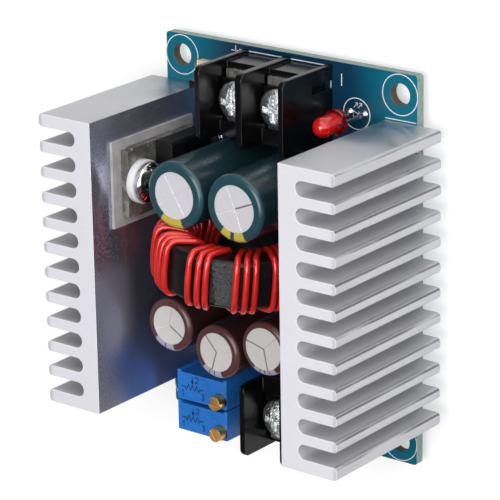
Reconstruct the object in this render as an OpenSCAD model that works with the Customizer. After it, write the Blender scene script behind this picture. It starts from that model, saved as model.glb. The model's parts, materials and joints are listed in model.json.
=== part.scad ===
// Step-down power supply module: a circuit board between two finned heatsinks, with a
// screw terminal block at each end, electrolytic capacitors, a toroidal inductor, two
// multi-turn trimmers and an indicator lamp.
// +X points to the right heatsink, +Y to the input end and +Z away from the board.
// The origin is the middle of the four mounting holes, on the underside of the board.

/* [Board] */
// Length of the board, along Y
board_len = 60; // [58:1:72]
// Width of the board, along X
board_w = 46; // [44:1:54]
// Thickness of the board
board_t = 1.6; // [1:0.2:2.4]
// Radius of the board's corners
board_corner_r = 0.5; // [0.5:0.5:2.5]
// Diameter of the four mounting holes
mount_hole_d = 3.4; // [2.6:0.1:4]
// Centre of a mounting hole to the side edge of the board
mount_inset_x = 3; // [2.5:0.25:4]
// Centre of a mounting hole to the end edge of the board
mount_inset_y = 3.25; // [2.75:0.25:4]
// Height of the soldered tips below the board
tip_len = 2; // [1.9:0.1:2.8]

/* [Heatsinks] */
// Length of a heatsink, along Y
heatsink_len = 45.2; // [42:0.2:52]
// Height of a heatsink above the board
heatsink_h = 25.8; // [24:0.2:34]
// Depth of a heatsink, from its flat face to the fin tips
heatsink_depth = 9.8; // [8:0.2:14]
// Thickness of the plate that carries the fins
heatsink_plate_t = 3; // [2.6:0.1:4]
// Number of fins
fin_count = 12; // [8:1:13]
// Thickness of a fin
fin_t = 1.7; // [1.4:0.1:2]
// Thickness of each end fin
end_fin_t = 2; // [1.6:0.1:3]
// How far the pair of heatsinks sits to the right of the board's middle
heatsink_shift = 0.4; // [0:0.1:0.6]

/* [Power devices] */
// Middle of the devices, towards the output end from the middle of the input capacitors
device_shift = 0.24; // [-0.6:0.02:1.2]
// Length of the moulded body
device_body_len = 9.2; // [8.6:0.1:9.8]
// Length of the bare tab beyond the body
device_tab_len = 6.4; // [6:0.1:7]
// Width of the tab and the body
device_w = 10.6; // [9.6:0.1:10.8]
// Thickness of the tab
device_tab_t = 1.3; // [1:0.1:1.5]
// Thickness of the tab and the body together
device_t = 4.5; // [4:0.1:5]
// Bottom of the body above the board
device_lift = 4; // [3.5:0.1:5]
// Thickness of the thermal pad
thermal_pad_t = 0.5; // [0.3:0.1:1]

/* [Terminal blocks] */
// Distance between the two poles
pole_pitch = 7.62; // [7:0.01:8.5]
// Depth of a block, along Y
terminal_depth = 11.5; // [10.5:0.1:13]
// Height of the walls above the board
terminal_h = 12.1; // [11:0.1:14]
// Height of the shelf that carries the contacts
terminal_shelf_h = 5.4; // [4.6:0.1:6]
// Thickness of the two outer walls
terminal_end_wall = 0.9; // [0.6:0.1:1.2]
// Thickness of the wall between the poles
terminal_mid_wall = 1.2; // [0.8:0.1:1.6]
// Diameter of a terminal screw's head
terminal_head_d = 5.9; // [5:0.1:5.9]

/* [Capacitors] */
// Diameter of an input capacitor's can
in_cap_d = 10; // [9:0.1:11]
// Height of an input capacitor above the board
in_cap_h = 20.4; // [16:0.2:24]
// Distance between the lead wires of an input capacitor
in_cap_pitch = 5; // [4:0.1:6]
// Diameter of an output capacitor's can
out_cap_d = 8.1; // [7:0.1:8.6]
// Height of an output capacitor above the board
out_cap_h = 16.4; // [12:0.2:20]
// Distance between the lead wires of an output capacitor
out_cap_pitch = 3.5; // [3:0.1:4.5]
// Thickness of the shrink sleeves
sleeve_t = 0.1; // [0.06:0.02:0.2]

/* [Inductor] */
// Outer diameter of the core
core_od = 22.9; // [21:0.1:24]
// Inner diameter of the core
core_id = 14.4; // [14.2:0.1:15]
// Thickness of the core, along its axis
core_t = 7.4; // [6.4:0.1:8]
// Diameter of one strand of wire
strand_d = 0.94; // [0.6:0.02:0.96]
// How far the ring is turned about the vertical
core_yaw = -6; // [-8:1:8]

/* [Trimmers] */
// Length of a trimmer, along X
trimmer_len = 9.5; // [9:0.1:10]
// Width of a trimmer, along Y
trimmer_w = 4.8; // [4.4:0.1:5.4]
// Height of a trimmer above the board
trimmer_h = 10; // [9:0.1:12]
// Diameter of the adjusting screw
adjuster_d = 2.2; // [1.8:0.1:2.6]
// How far the adjusting screw stands out of the body
adjuster_out = 1.5; // [1:0.1:2.5]

/* [Indicator lamp] */
// Diameter of the lens
lens_d = 3; // [2.8:0.1:3.4]
// Bottom of the lens above the board
lens_lift = 4.6; // [3:0.1:6]

/* [Hidden] */
$fn = 48;
overcut = 1;
mold_gap = 0.02;
hole_clear = 0.2;

// Heatsinks stand far enough apart for the input capacitors and the power devices
sleeve_gap = 0.01;
in_cap_od = in_cap_d + 2 * (sleeve_t + sleeve_gap);
out_cap_od = out_cap_d + 2 * (sleeve_t + sleeve_gap);
in_cap_space = 0.75;
device_space = 1.4;
in_cap_x = (in_cap_od + in_cap_space) / 2;
heatsink_face = in_cap_x + in_cap_od / 2 + device_space + device_t + thermal_pad_t;
heatsink_y = 0.1;
fin_slot = (heatsink_len - 2 * end_fin_t - (fin_count - 2) * fin_t) / (fin_count - 1);
fin_pitch = fin_slot + fin_t;
fin_tip_r = 0.65;

// Power devices, measured from the heatsink's face and from the board
device_hole_drop = 2.75;
device_top = device_lift + device_body_len + device_tab_len;
device_hole_z = device_top - device_hole_drop;
device_lead_pitch = 2.54;
device_lead_x = 2.6;
device_lead_t = 0.5;
device_lead_w = 0.8;
device_shoulder_w = 1.3;
device_shoulder_h = 2.6;
device_chamfer = 0.5;
tab_notch_w = 0.3;
tab_notch_len = 1.2;
pad_margin_y = 1.35;
pad_margin_top = 1.9;
pad_margin_low = 1.4;
bush_flange_d = 6.6;
bush_flange_t = 1.2;
bush_wall = 0.3;
bolt_d = 2.9;
bolt_head_d = 6.2;
bolt_head_h = 2;
bolt_grip = 2.3;
bolt_gap = 0.05;

// Terminal blocks, each made with its wire side towards +Y
terminal_w = 2 * pole_pitch + terminal_end_wall;
terminal_corner_r = 1.2;
terminal_shelf_setback = 0.55;
terminal_back_t = 2.4;
terminal_back_h = 7.4;
rib_y = 2.8;
rib_w = 1.4;
rib_neck_w = 0.9;
rib_out = 1.2;
rib_drop = 0.3;
rib_play = 0.1;
groove_roof = 0.4;
bay_w = pole_pitch - (terminal_end_wall + terminal_mid_wall) / 2;
contact_t = 0.8;
contact_play = 0.35;
contact_w = bay_w - 2 * contact_play;
contact_setback = 1.4;
contact_front = terminal_depth / 2 - contact_setback;
contact_cover = 1;
contact_back = -terminal_depth / 2 + contact_cover;
pin_w = 1.4;
pin_inset = 1.1;
pin_y = contact_back + pin_inset;
clamp_t = 0.8;
clamp_play = 0.25;
clamp_w = bay_w - 2 * clamp_play;
terminal_screw_y = 0.1;
terminal_shank_d = 2.9;
terminal_shank_len = 5;
terminal_head_h = 2.3;
head_rim_share = 0.45;
recess_share = 0.64;
recess_w = 0.9;
recess_depth = 0.9;
in_end_setback = 0.55;
out_end_overhang = 0.15;
out_wall_space = 2.1;
in_terminal_y = board_len / 2 - in_end_setback - terminal_depth / 2;
out_terminal_y = -board_len / 2 - out_end_overhang + terminal_depth / 2;
out_terminal_x = heatsink_face + heatsink_shift - out_wall_space - terminal_w / 2;

// Capacitors
can_edge_r = 0.7;
can_edge_steps = 6;
in_lip_w = 1.45;
out_lip_ws = [1.05, 1.05, 0.8];
bead_up = 2.2;
bead_depth = 0.35;
bead_half = 0.5;
bung_t = 1.4;
bung_wall = 0.6;
bung_lift = 0.2;
cap_lead_d = 0.6;
vent_w = 0.16;
vent_depth = 0.14;
in_cap_gap = 0.5;
in_cap_y = in_terminal_y - terminal_depth / 2 - in_cap_gap - in_cap_od / 2;
in_caps = [[-in_cap_x, in_cap_y], [in_cap_x, in_cap_y]];
device_y = in_cap_y - device_shift;

// Trimmers stand side by side, left of the output terminal block
trimmer_space = 4.05;
trimmer_edge = 0.5;
trimmer_gap = 0.28;
trimmer_x = out_terminal_x - terminal_w / 2 - trimmer_space - trimmer_len / 2;
trimmer_2_y = -board_len / 2 + trimmer_edge + trimmer_w / 2;
trimmer_1_y = trimmer_2_y + trimmer_w + trimmer_gap;
trimmers = [[trimmer_x, trimmer_1_y], [trimmer_x, trimmer_2_y]];
trimmer_rib = 0.65;
trimmer_recess = 0.35;
trimmer_foot_h = 0.5;
trimmer_foot_len = 1.2;
adjuster_inset = 1.27;
adjuster_gap = 0.04;
adjuster_deep = 4;
adjuster_slot_w = 0.55;
adjuster_slot_depth = 0.7;
adjuster_slot_angles = [-10, -55];
trimmer_pin_d = 0.5;
trimmer_pin_pitch = 2.54;
trimmer_pin_row = 1.1;
trimmer_pins = [
    [-trimmer_pin_pitch, -trimmer_pin_row],
    [0, trimmer_pin_row],
    [trimmer_pin_pitch, -trimmer_pin_row]];

// Inductor: the ring stands on edge behind the input capacitors
core_edge_r = 0.8;
core_lift = 0.12;
strand_gap = 0.03;
strand_off = strand_d / 2 + strand_gap;
strand_count = 3;
strand_pitch = strand_d + strand_gap;
strand_step = 6.8;
strand_sides = 8;
turn_angles = [-48, -15, 18, 45, 80, 117, 147, 180, 213];
turn_count = len(turn_angles);
bend_steps = 3;
bend_r = core_edge_r + strand_off;
wind_out = core_od / 2 + strand_off;
wind_in = core_id / 2 - strand_off;
wind_half = core_t / 2 + strand_off;
face_share = 0.25;
tail_margin = 0.3;
tail_d = strand_count * strand_pitch + tail_margin;
tail_bend = 1.6;
tail_flare = 0.25;
bore_slack = 1.09;
bore_step = bore_slack * strand_pitch / wind_in * 180 / PI;
ring_gap = 0.1;
ring_x = -0.5;
ring_z = board_t + core_lift + core_od / 2 + 2 * strand_off;
ring_half_t = wind_half + strand_d / 2;
ring_y = in_cap_y - in_cap_od / 2 - ring_gap - ring_half_t / cos(core_yaw)
    - (in_cap_x + ring_x) * abs(tan(core_yaw));
tail_angles = [turn_angles[0], turn_angles[turn_count - 1]];
tail_sides = [-wind_half + bend_r, wind_half - bend_r];
tail_x = [for (a = tail_angles) wind_out * cos(a) + sign(cos(a)) * tail_flare];

// Output capacitors stand in a staggered row in the room between the inductor and what lies
// behind them, the trimmers and the terminal block
ring_reach = ring_half_t * cos(core_yaw) + (wind_out + strand_d / 2) * abs(sin(core_yaw));
out_row_base = max(trimmer_1_y + trimmer_w / 2, out_terminal_y + terminal_depth / 2);
out_row_room = ring_y - ring_reach - out_row_base - out_cap_od;
out_back_share = 0.36;
out_stagger_share = 0.38;
out_cap_gap = 0.5;
out_cap_step = out_cap_od + out_cap_gap;
out_cap_shift = 3.35;
out_cap_x = trimmer_x + trimmer_len / 2 + out_cap_shift;
out_cap_y = out_row_base + out_back_share * out_row_room + out_cap_od / 2;
out_caps = [for (i = [-1, 0, 1])
    [out_cap_x + i * out_cap_step, out_cap_y + abs(i) * out_stagger_share * out_row_room]];

// Indicator lamp, beside the input terminal block
lens_body_h = 5.3;
flange_rim = 0.4;
flange_d = lens_d + 2 * flange_rim;
flange_h = 1;
flange_flat = 0.35;
lamp_lead_w = 0.5;
lamp_pitch = 2.54;
lamp_space = 4.3;
lamp_back = 1;
lamp_x = terminal_w / 2 + lamp_space;
lamp_y = in_terminal_y - lamp_back;

// Solder joints
cone_share = 0.6;
pad_rim = 0.45;
tip_min_d = 0.7;

// Chips and chip parts, most of them under the board
controller_len = 9.9;
controller_leads_a_side = 8;
controller_at = [0, 0.6];
amplifier_len = 4.9;
amplifier_leads_a_side = 4;
amplifier_at = [-16.2, -1.5];
chip_w = 3.9;
chip_lead_pitch = 1.27;
chip_lead_w = 0.42;
chip_lead_t = 0.2;
chip_span = 6;
chip_standoff = 0.12;
chip_body_h = 1.45;
chip_bevel = 0.25;
chip_knee_share = 0.4;
shunt_size = [3.2, 6.4, 0.6];
shunt_at = [13.2, -2.5];
resistor_size = [2, 1.25, 0.5];
resistor_step = 2.4;
resistor_space = 0.235;
resistor_back = 4.24;
resistor_count = 5;
resistor_at = [
    out_caps[0][0] - (out_cap_pitch + cap_lead_d + hole_clear + resistor_size[0]) / 2
        - pad_rim - resistor_space,
    out_cap_y - resistor_back];
ceramic_size = [3.2, 1.6, 1.2];
ceramic_at = [[0, 6.4], [0, -5.4], [13.2, 4.2]];
top_ceramic_inset = [7.95, 4.1];
top_ceramic_at = [-board_w / 2 + top_ceramic_inset[0], board_len / 2 - top_ceramic_inset[1]];
end_cap_len = 0.5;

// Lead wires and pins that go through the board: place and hole diameter
function flat_hole(w, t) = sqrt(w * w + t * t) + hole_clear;
function turn_xy(p, a) = [p[0] * cos(a) - p[1] * sin(a), p[0] * sin(a) + p[1] * cos(a)];
device_holes = [for (s = [-1, 1], i = [-1, 0, 1]) [
    heatsink_shift + s * (heatsink_face - thermal_pad_t - device_lead_x),
    device_y + i * device_lead_pitch,
    flat_hole(device_lead_w, device_lead_t)]];
terminals = [[0, in_terminal_y, 1], [out_terminal_x, out_terminal_y, -1]];
terminal_holes = [for (t = terminals, i = [-0.5, 0.5])
    [t[0] + i * pole_pitch, t[1] + t[2] * pin_y, flat_hole(pin_w, contact_t)]];
cap_holes = concat(
    [for (c = in_caps, s = [-0.5, 0.5]) [c[0] + s * in_cap_pitch, c[1], cap_lead_d + hole_clear]],
    [for (c = out_caps, s = [-0.5, 0.5]) [c[0] + s * out_cap_pitch, c[1], cap_lead_d + hole_clear]]);
trimmer_holes = [for (t = trimmers, p = trimmer_pins)
    [t[0] + p[0], t[1] + p[1], trimmer_pin_d + hole_clear]];
lamp_holes = [for (s = [-0.5, 0.5])
    [lamp_x + s * lamp_pitch, lamp_y, flat_hole(lamp_lead_w, lamp_lead_w)]];
tail_xy = [for (i = [0, 1])
    turn_xy([tail_x[i], -tail_sides[i]], core_yaw) + [ring_x, ring_y]];
tail_holes = [for (p = tail_xy) [p[0], p[1], tail_d + hole_clear]];
lead_holes = concat(device_holes, terminal_holes, cap_holes, trimmer_holes, lamp_holes, tail_holes);

// Board

module rounded_rect(w, l, r) {
    square([w - 2 * r, l], center = true);
    square([w, l - 2 * r], center = true);
    for (x = [-1, 1], y = [-1, 1])
        translate([x * (w / 2 - r), y * (l / 2 - r)])
            circle(r = r);
}

module pcb() {
    color("teal")
        difference() {
            linear_extrude(board_t)
                rounded_rect(board_w, board_len, board_corner_r);
            for (x = [-1, 1] * (board_w / 2 - mount_inset_x), y = [-1, 1] * (board_len / 2 - mount_inset_y))
                translate([x, y, -overcut])
                    cylinder(d = mount_hole_d, h = board_t + 2 * overcut);
            for (h = lead_holes)
                translate([h[0], h[1], -overcut])
                    cylinder(d = h[2], h = board_t + 2 * overcut);
        }
}

// Heatsinks: one extruded comb, with round slot roots and round fin tips

module fin_tip(t) {
    translate([heatsink_depth - 2 * fin_tip_r, fin_tip_r])
        square([2 * fin_tip_r, t - 2 * fin_tip_r]);
    for (y = [fin_tip_r, t - fin_tip_r])
        translate([heatsink_depth - fin_tip_r, y])
            circle(r = fin_tip_r);
}

module heatsink_profile() {
    difference() {
        square([heatsink_depth - fin_tip_r, heatsink_len]);
        for (i = [0:fin_count - 2])
            translate([heatsink_plate_t + fin_slot / 2, end_fin_t + fin_slot / 2 + i * fin_pitch]) {
                circle(d = fin_slot);
                translate([0, -fin_slot / 2])
                    square([heatsink_depth, fin_slot]);
            }
    }
    fin_tip(end_fin_t);
    for (i = [1:fin_count - 2])
        translate([0, end_fin_t + fin_slot + (i - 1) * fin_pitch])
            fin_tip(fin_t);
    translate([0, heatsink_len - end_fin_t])
        fin_tip(end_fin_t);
}

module heatsink() {
    translate([heatsink_face, heatsink_y, board_t])
        difference() {
            translate([0, -heatsink_len / 2])
                linear_extrude(heatsink_h)
                    heatsink_profile();
            translate([-overcut, device_y - heatsink_y, device_hole_z])
                rotate([0, 90, 0])
                    cylinder(d = bolt_d + 2 * bolt_gap, h = overcut + bolt_grip + bolt_gap);
        }
}

// Puts a piece made for the right heatsink on the right or the left side
module on_side(side) {
    translate([heatsink_shift, 0, 0])
        if (side == "left")
            mirror([1, 0, 0])
                children();
        else
            children();
}

module heatsink_left() {
    color("gainsboro")
        on_side("left")
            heatsink();
}

module heatsink_right() {
    color("gainsboro")
        on_side("right")
            heatsink();
}

// Power devices: the x of a piece runs inwards from the face that the tab lies on

module on_tab() {
    translate([heatsink_face - thermal_pad_t, device_y, board_t])
        mirror([1, 0, 0])
            children();
}

module along_bolt(x) {
    translate([x, 0, device_hole_z])
        rotate([0, 90, 0])
            children();
}

module device_pad() {
    on_tab()
        difference() {
            translate([-thermal_pad_t, -device_w / 2 - pad_margin_y, device_lift - pad_margin_low])
                cube([thermal_pad_t, device_w + 2 * pad_margin_y,
                    device_top - device_lift + pad_margin_low + pad_margin_top]);
            along_bolt(-thermal_pad_t - overcut)
                cylinder(d = bolt_d + 2 * bolt_gap, h = thermal_pad_t + 2 * overcut);
        }
}

module device_leadframe() {
    on_tab() {
        difference() {
            translate([0, -device_w / 2, device_lift])
                cube([device_tab_t, device_w, device_top - device_lift]);
            along_bolt(-overcut)
                cylinder(d = bolt_d + 2 * (bush_wall + 2 * bolt_gap), h = device_tab_t + 2 * overcut);
            for (s = [-1, 1])
                translate([-overcut, s * device_w / 2 - tab_notch_w, device_top - tab_notch_len])
                    cube([device_tab_t + 2 * overcut, 2 * tab_notch_w, tab_notch_len + overcut]);
        }
        for (i = [-1, 0, 1])
            translate([device_lead_x - device_lead_t / 2, i * device_lead_pitch, 0]) {
                translate([0, -device_lead_w / 2, -board_t])
                    cube([device_lead_t, device_lead_w, device_lift + board_t]);
                translate([0, -device_shoulder_w / 2, device_lift - device_shoulder_h])
                    cube([device_lead_t, device_shoulder_w, device_shoulder_h]);
            }
    }
}

module device_body() {
    on_tab()
        translate([0, 0, device_lift])
            linear_extrude(device_body_len)
                polygon([
                    [device_tab_t, -device_w / 2],
                    [device_t - device_chamfer, -device_w / 2],
                    [device_t, -device_w / 2 + device_chamfer],
                    [device_t, device_w / 2 - device_chamfer],
                    [device_t - device_chamfer, device_w / 2],
                    [device_tab_t, device_w / 2]]);
}

module device_bush() {
    on_tab()
        difference() {
            union() {
                along_bolt(device_tab_t)
                    cylinder(d = bush_flange_d, h = bush_flange_t);
                along_bolt(0)
                    cylinder(d = bolt_d + 2 * (bush_wall + bolt_gap), h = device_tab_t + bush_flange_t);
            }
            along_bolt(-overcut)
                cylinder(d = bolt_d + 2 * bolt_gap, h = device_tab_t + bush_flange_t + 2 * overcut);
        }
}

// A pan head with its flat side at z = 0 and a cross recess on top
module pan_head(d, h) {
    rim_h = h * head_rim_share;
    dome_r = (pow(d / 2, 2) + pow(h - rim_h, 2)) / (2 * (h - rim_h));
    difference() {
        intersection() {
            cylinder(d = d, h = h);
            translate([0, 0, h - dome_r])
                sphere(r = dome_r);
        }
        for (a = [0, 90])
            rotate(a)
                translate([-d * recess_share / 2, -recess_w / 2, h - recess_depth])
                    cube([d * recess_share, recess_w, recess_depth + overcut]);
    }
}

module device_screw() {
    seat = device_tab_t + bush_flange_t;
    on_tab() {
        along_bolt(-thermal_pad_t - bolt_grip)
            cylinder(d = bolt_d, h = seat + thermal_pad_t + bolt_grip);
        along_bolt(seat)
            pan_head(bolt_head_d, bolt_head_h);
    }
}

module transistor_pad() { color("darkgray") on_side("left") device_pad(); }
module transistor_leadframe() { color("silver") on_side("left") device_leadframe(); }
module transistor_body() { color("dimgray") on_side("left") device_body(); }
module transistor_bush() { color("white") on_side("left") device_bush(); }
module transistor_screw() { color("lightgray") on_side("left") device_screw(); }
module rectifier_pad() { color("darkgray") on_side("right") device_pad(); }
module rectifier_leadframe() { color("silver") on_side("right") device_leadframe(); }
module rectifier_body() { color("dimgray") on_side("right") device_body(); }
module rectifier_bush() { color("white") on_side("right") device_bush(); }
module rectifier_screw() { color("lightgray") on_side("right") device_screw(); }

// Terminal blocks

module at_input() {
    translate([0, in_terminal_y, board_t])
        children();
}

module at_output() {
    translate([out_terminal_x, out_terminal_y, board_t])
        rotate(180)
            children();
}

module at_poles() {
    for (i = [-0.5, 0.5])
        translate([i * pole_pitch, 0, 0])
            children();
}

// A wall across X with its two upper corners rounded
module barrier(t) {
    r = terminal_corner_r;
    rotate([90, 0, 90])
        translate([0, 0, -t / 2])
            linear_extrude(t) {
                translate([-terminal_depth / 2, 0])
                    square([terminal_depth, terminal_h - r]);
                translate([-terminal_depth / 2 + r, 0])
                    square([terminal_depth - 2 * r, terminal_h]);
                for (s = [-1, 1])
                    translate([s * (terminal_depth / 2 - r), terminal_h - r])
                        circle(r = r);
            }
}

// The dovetail that joins blocks side by side, as a rib or as the groove for it
module dovetail(play) {
    translate([0, rib_y])
        polygon([
            [overcut, -rib_neck_w / 2 - play],
            [0, -rib_neck_w / 2 - play],
            [-rib_out - play, -rib_w / 2 - play],
            [-rib_out - play, rib_w / 2 + play],
            [0, rib_neck_w / 2 + play],
            [overcut, rib_neck_w / 2 + play]]);
}

module terminal_housing() {
    pilot_z = terminal_shelf_h + contact_t + clamp_t - terminal_shank_len - bolt_gap;
    difference() {
        union() {
            for (s = [-1, 1])
                translate([s * (terminal_w - terminal_end_wall) / 2, 0, 0])
                    barrier(terminal_end_wall);
            barrier(terminal_mid_wall);
            translate([-terminal_w / 2, -terminal_depth / 2, 0])
                cube([terminal_w, terminal_depth - terminal_shelf_setback, terminal_shelf_h]);
            translate([-terminal_w / 2, -terminal_depth / 2, 0])
                cube([terminal_w, terminal_back_t, terminal_back_h]);
            translate([-terminal_w / 2, 0, 0])
                linear_extrude(terminal_h - rib_drop)
                    intersection() {
                        dovetail(0);
                        translate([-rib_out, -terminal_depth / 2])
                            square([rib_out + terminal_end_wall / 2, terminal_depth]);
                    }
        }
        translate([terminal_w / 2, 0, -overcut])
            linear_extrude(overcut + terminal_shelf_h - groove_roof)
                dovetail(rib_play);
        at_poles() {
            translate([0, terminal_screw_y, pilot_z])
                cylinder(d = terminal_shank_d + 2 * bolt_gap, h = terminal_shank_len);
            translate([-pin_w / 2 - mold_gap, pin_y - contact_t / 2 - mold_gap, -overcut])
                cube([pin_w + 2 * mold_gap, contact_t + 2 * mold_gap, terminal_shelf_h + overcut]);
            translate([-contact_w / 2 - mold_gap, contact_back - mold_gap, terminal_shelf_h])
                cube([contact_w + 2 * mold_gap, contact_front - contact_back, contact_t + mold_gap]);
        }
    }
}

module terminal_contacts() {
    at_poles() {
        difference() {
            translate([-contact_w / 2, contact_back, terminal_shelf_h])
                cube([contact_w, contact_front - contact_back, contact_t]);
            translate([0, terminal_screw_y, terminal_shelf_h - overcut])
                cylinder(d = terminal_shank_d + 2 * bolt_gap, h = contact_t + 2 * overcut);
        }
        translate([-pin_w / 2, pin_y - contact_t / 2, -board_t])
            cube([pin_w, contact_t, board_t + terminal_shelf_h + contact_t]);
    }
}

module terminal_clamps() {
    at_poles()
        translate([0, terminal_screw_y, terminal_shelf_h + contact_t])
            difference() {
                translate([-clamp_w / 2, -clamp_w / 2, 0])
                    cube([clamp_w, clamp_w, clamp_t]);
                translate([0, 0, -overcut])
                    cylinder(d = terminal_shank_d + 2 * bolt_gap, h = clamp_t + 2 * overcut);
            }
}

module terminal_screws() {
    at_poles()
        translate([0, terminal_screw_y, terminal_shelf_h + contact_t + clamp_t]) {
            translate([0, 0, -terminal_shank_len])
                cylinder(d = terminal_shank_d, h = terminal_shank_len);
            pan_head(terminal_head_d, terminal_head_h);
        }
}

module input_terminal_housing() { color([0.12, 0.12, 0.13]) at_input() terminal_housing(); }
module input_terminal_contacts() { color("silver") at_input() terminal_contacts(); }
module input_terminal_clamps() { color("lightgray") at_input() terminal_clamps(); }
module input_terminal_screws() { color("gainsboro") at_input() terminal_screws(); }
module output_terminal_housing() { color([0.12, 0.12, 0.13]) at_output() terminal_housing(); }
module output_terminal_contacts() { color("silver") at_output() terminal_contacts(); }
module output_terminal_clamps() { color("lightgray") at_output() terminal_clamps(); }
module output_terminal_screws() { color("gainsboro") at_output() terminal_screws(); }

// Capacitors: a can closed by a bung, in a sleeve that folds over the rim

function arc(c, r, from, to, n) =
    [for (i = [0:n]) c + r * [cos(from + (to - from) * i / n), sin(from + (to - from) * i / n)]];

function reversed(list) = [for (i = [len(list) - 1:-1:0]) list[i]];

// The rolled bead that holds the bung, in a can or sleeve of radius r
function bead(r) = [[r, bead_up - bead_half], [r - bead_depth, bead_up], [r, bead_up + bead_half]];

module can(d, h, lip, vents) {
    r = d / 2;
    difference() {
        rotate_extrude()
            polygon(concat(
                [[0, bung_lift + bung_t], [r - bung_wall, bung_lift + bung_t], [r - bung_wall, 0], [r, 0]],
                bead(r),
                arc([r - can_edge_r, h - can_edge_r], can_edge_r, 0, 90, can_edge_steps),
                [[0, h]]));
        for (a = vents)
            rotate(a)
                translate([0, -vent_w / 2, h - vent_depth])
                    cube([r - lip - vent_w, vent_w, vent_depth + overcut]);
    }
}

module sleeve(d, h, lip) {
    inner = d / 2 + sleeve_gap;
    outer = inner + sleeve_t;
    edge = [d / 2 - can_edge_r, h - can_edge_r];
    rotate_extrude()
        polygon(concat(
            [[inner, 0], [outer, 0]],
            bead(outer),
            arc(edge, can_edge_r + sleeve_gap + sleeve_t, 0, 90, can_edge_steps),
            [[d / 2 - lip, h + sleeve_gap + sleeve_t], [d / 2 - lip, h + sleeve_gap]],
            arc(edge, can_edge_r + sleeve_gap, 90, 0, can_edge_steps),
            reversed(bead(inner))));
}

module on_board(p) {
    translate([p[0], p[1], board_t])
        children();
}

cross_vents = [[32, 122, 212, 302], [22, 112, 202, 292]];
star_vents = [[78, 203, 328], [11, 131, 253], [42, 165, 282]];

module in_can(i) { on_board(in_caps[i]) can(in_cap_d, in_cap_h, in_lip_w, cross_vents[i]); }
module in_sleeve(i) { on_board(in_caps[i]) sleeve(in_cap_d, in_cap_h, in_lip_w); }
module out_can(i) { on_board(out_caps[i]) can(out_cap_d, out_cap_h, out_lip_ws[i], star_vents[i]); }
module out_sleeve(i) { on_board(out_caps[i]) sleeve(out_cap_d, out_cap_h, out_lip_ws[i]); }

module input_capacitor_1_can() { color("whitesmoke") in_can(0); }
module input_capacitor_1_sleeve() { color([0.17, 0.33, 0.36]) in_sleeve(0); }
module input_capacitor_2_can() { color("whitesmoke") in_can(1); }
module input_capacitor_2_sleeve() { color([0.17, 0.33, 0.36]) in_sleeve(1); }
module output_capacitor_1_can() { color("whitesmoke") out_can(0); }
module output_capacitor_1_sleeve() { color([0.34, 0.21, 0.21]) out_sleeve(0); }
module output_capacitor_2_can() { color("whitesmoke") out_can(1); }
module output_capacitor_2_sleeve() { color([0.34, 0.21, 0.21]) out_sleeve(1); }
module output_capacitor_3_can() { color("whitesmoke") out_can(2); }
module output_capacitor_3_sleeve() { color([0.34, 0.21, 0.21]) out_sleeve(2); }

module bung(d) {
    translate([0, 0, bung_lift])
        cylinder(d = d - 2 * (bung_wall + mold_gap), h = bung_t);
}

module capacitor_bungs() {
    color("black") {
        for (c = in_caps)
            on_board(c)
                bung(in_cap_d);
        for (c = out_caps)
            on_board(c)
                bung(out_cap_d);
    }
}

module capacitor_leads() {
    color("silver")
        for (h = cap_holes)
            translate([h[0], h[1], 0])
                cylinder(d = cap_lead_d, h = board_t + bung_lift);
}

// Inductor: the ring is drawn about Z, its turn angles counted from +X, and stood on edge

module on_edge() {
    translate([ring_x, ring_y, ring_z])
        rotate(core_yaw)
            rotate([90, 0, 0])
                children();
}

module toroid_core() {
    color([0.22, 0.22, 0.23])
        on_edge()
            rotate_extrude($fn = 96)
                translate([(core_od + core_id) / 4, 0])
                    rounded_rect((core_od - core_id) / 2, core_t, core_edge_r);
}

// Corners of one turn in the section of the ring: centre, first direction, share of the way on,
// and the angle from strand to strand there
turn_bends = [
    [[wind_out - bend_r, wind_half - bend_r], 0, 0, strand_step],
    [[wind_in + bend_r, wind_half - bend_r], 90, face_share, bore_step],
    [[wind_in + bend_r, -wind_half + bend_r], 180, 1 - face_share, bore_step],
    [[wind_out - bend_r, -wind_half + bend_r], 270, 1, strand_step]];

// A point of the winding from its radius, its place along the ring's axis and its turn angle
function wound(r, z, a) = [[r * cos(a), r * sin(a), z], [-sin(a), cos(a), 0]];

function turn_points(k, s) = [
    for (b = turn_bends, p = arc(b[0], bend_r, b[1], b[1] + 90, bend_steps))
        wound(p[0], p[1], s * b[3] + turn_angles[k] + b[2] * (turn_angles[k + 1] - turn_angles[k]))];

// The tail of a strand from the rim down to the underside of the board
function tail_points(i, s) =
    let (rim = wound(wind_out, tail_sides[i], tail_angles[i] + s * strand_step),
        x = tail_x[i] + s * strand_pitch,
        top = rim[0][1] - tail_bend)
    [[[x, -ring_z, tail_sides[i]], rim[1]], [[x, top, tail_sides[i]], rim[1]], rim];

function strand_path(s) = concat(
    tail_points(0, s),
    [for (k = [0:turn_count - 2]) each turn_points(k, s)],
    reversed(tail_points(1, s)));

// A tube along a path whose points also carry the direction that runs round the ring
module tube(path) {
    n = len(path);
    points = [for (i = [0:n - 1])
        let (
            step = path[min(i + 1, n - 1)][0] - path[max(i - 1, 0)][0],
            along = step / norm(step),
            side = path[i][1] - (path[i][1] * along) * along,
            across = side / norm(side),
            up = cross(along, across))
        for (j = [0:strand_sides - 1])
            let (a = 360 * j / strand_sides)
            path[i][0] + strand_d / 2 * (cos(a) * up + sin(a) * across)];
    walls = [for (i = [0:n - 2], j = [0:strand_sides - 1])
        let (
            here = i * strand_sides,
            next = here + strand_sides,
            k = (j + 1) % strand_sides)
        each [[here + j, here + k, next + k], [here + j, next + k, next + j]]];
    ends = [
        [for (j = [strand_sides - 1:-1:0]) j],
        [for (j = [0:strand_sides - 1]) (n - 1) * strand_sides + j]];
    polyhedron(points, concat(walls, ends));
}

module toroid_winding() {
    color("crimson")
        on_edge()
            for (i = [0:strand_count - 1])
                tube(strand_path(i - (strand_count - 1) / 2));
}

// Trimmers

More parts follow.
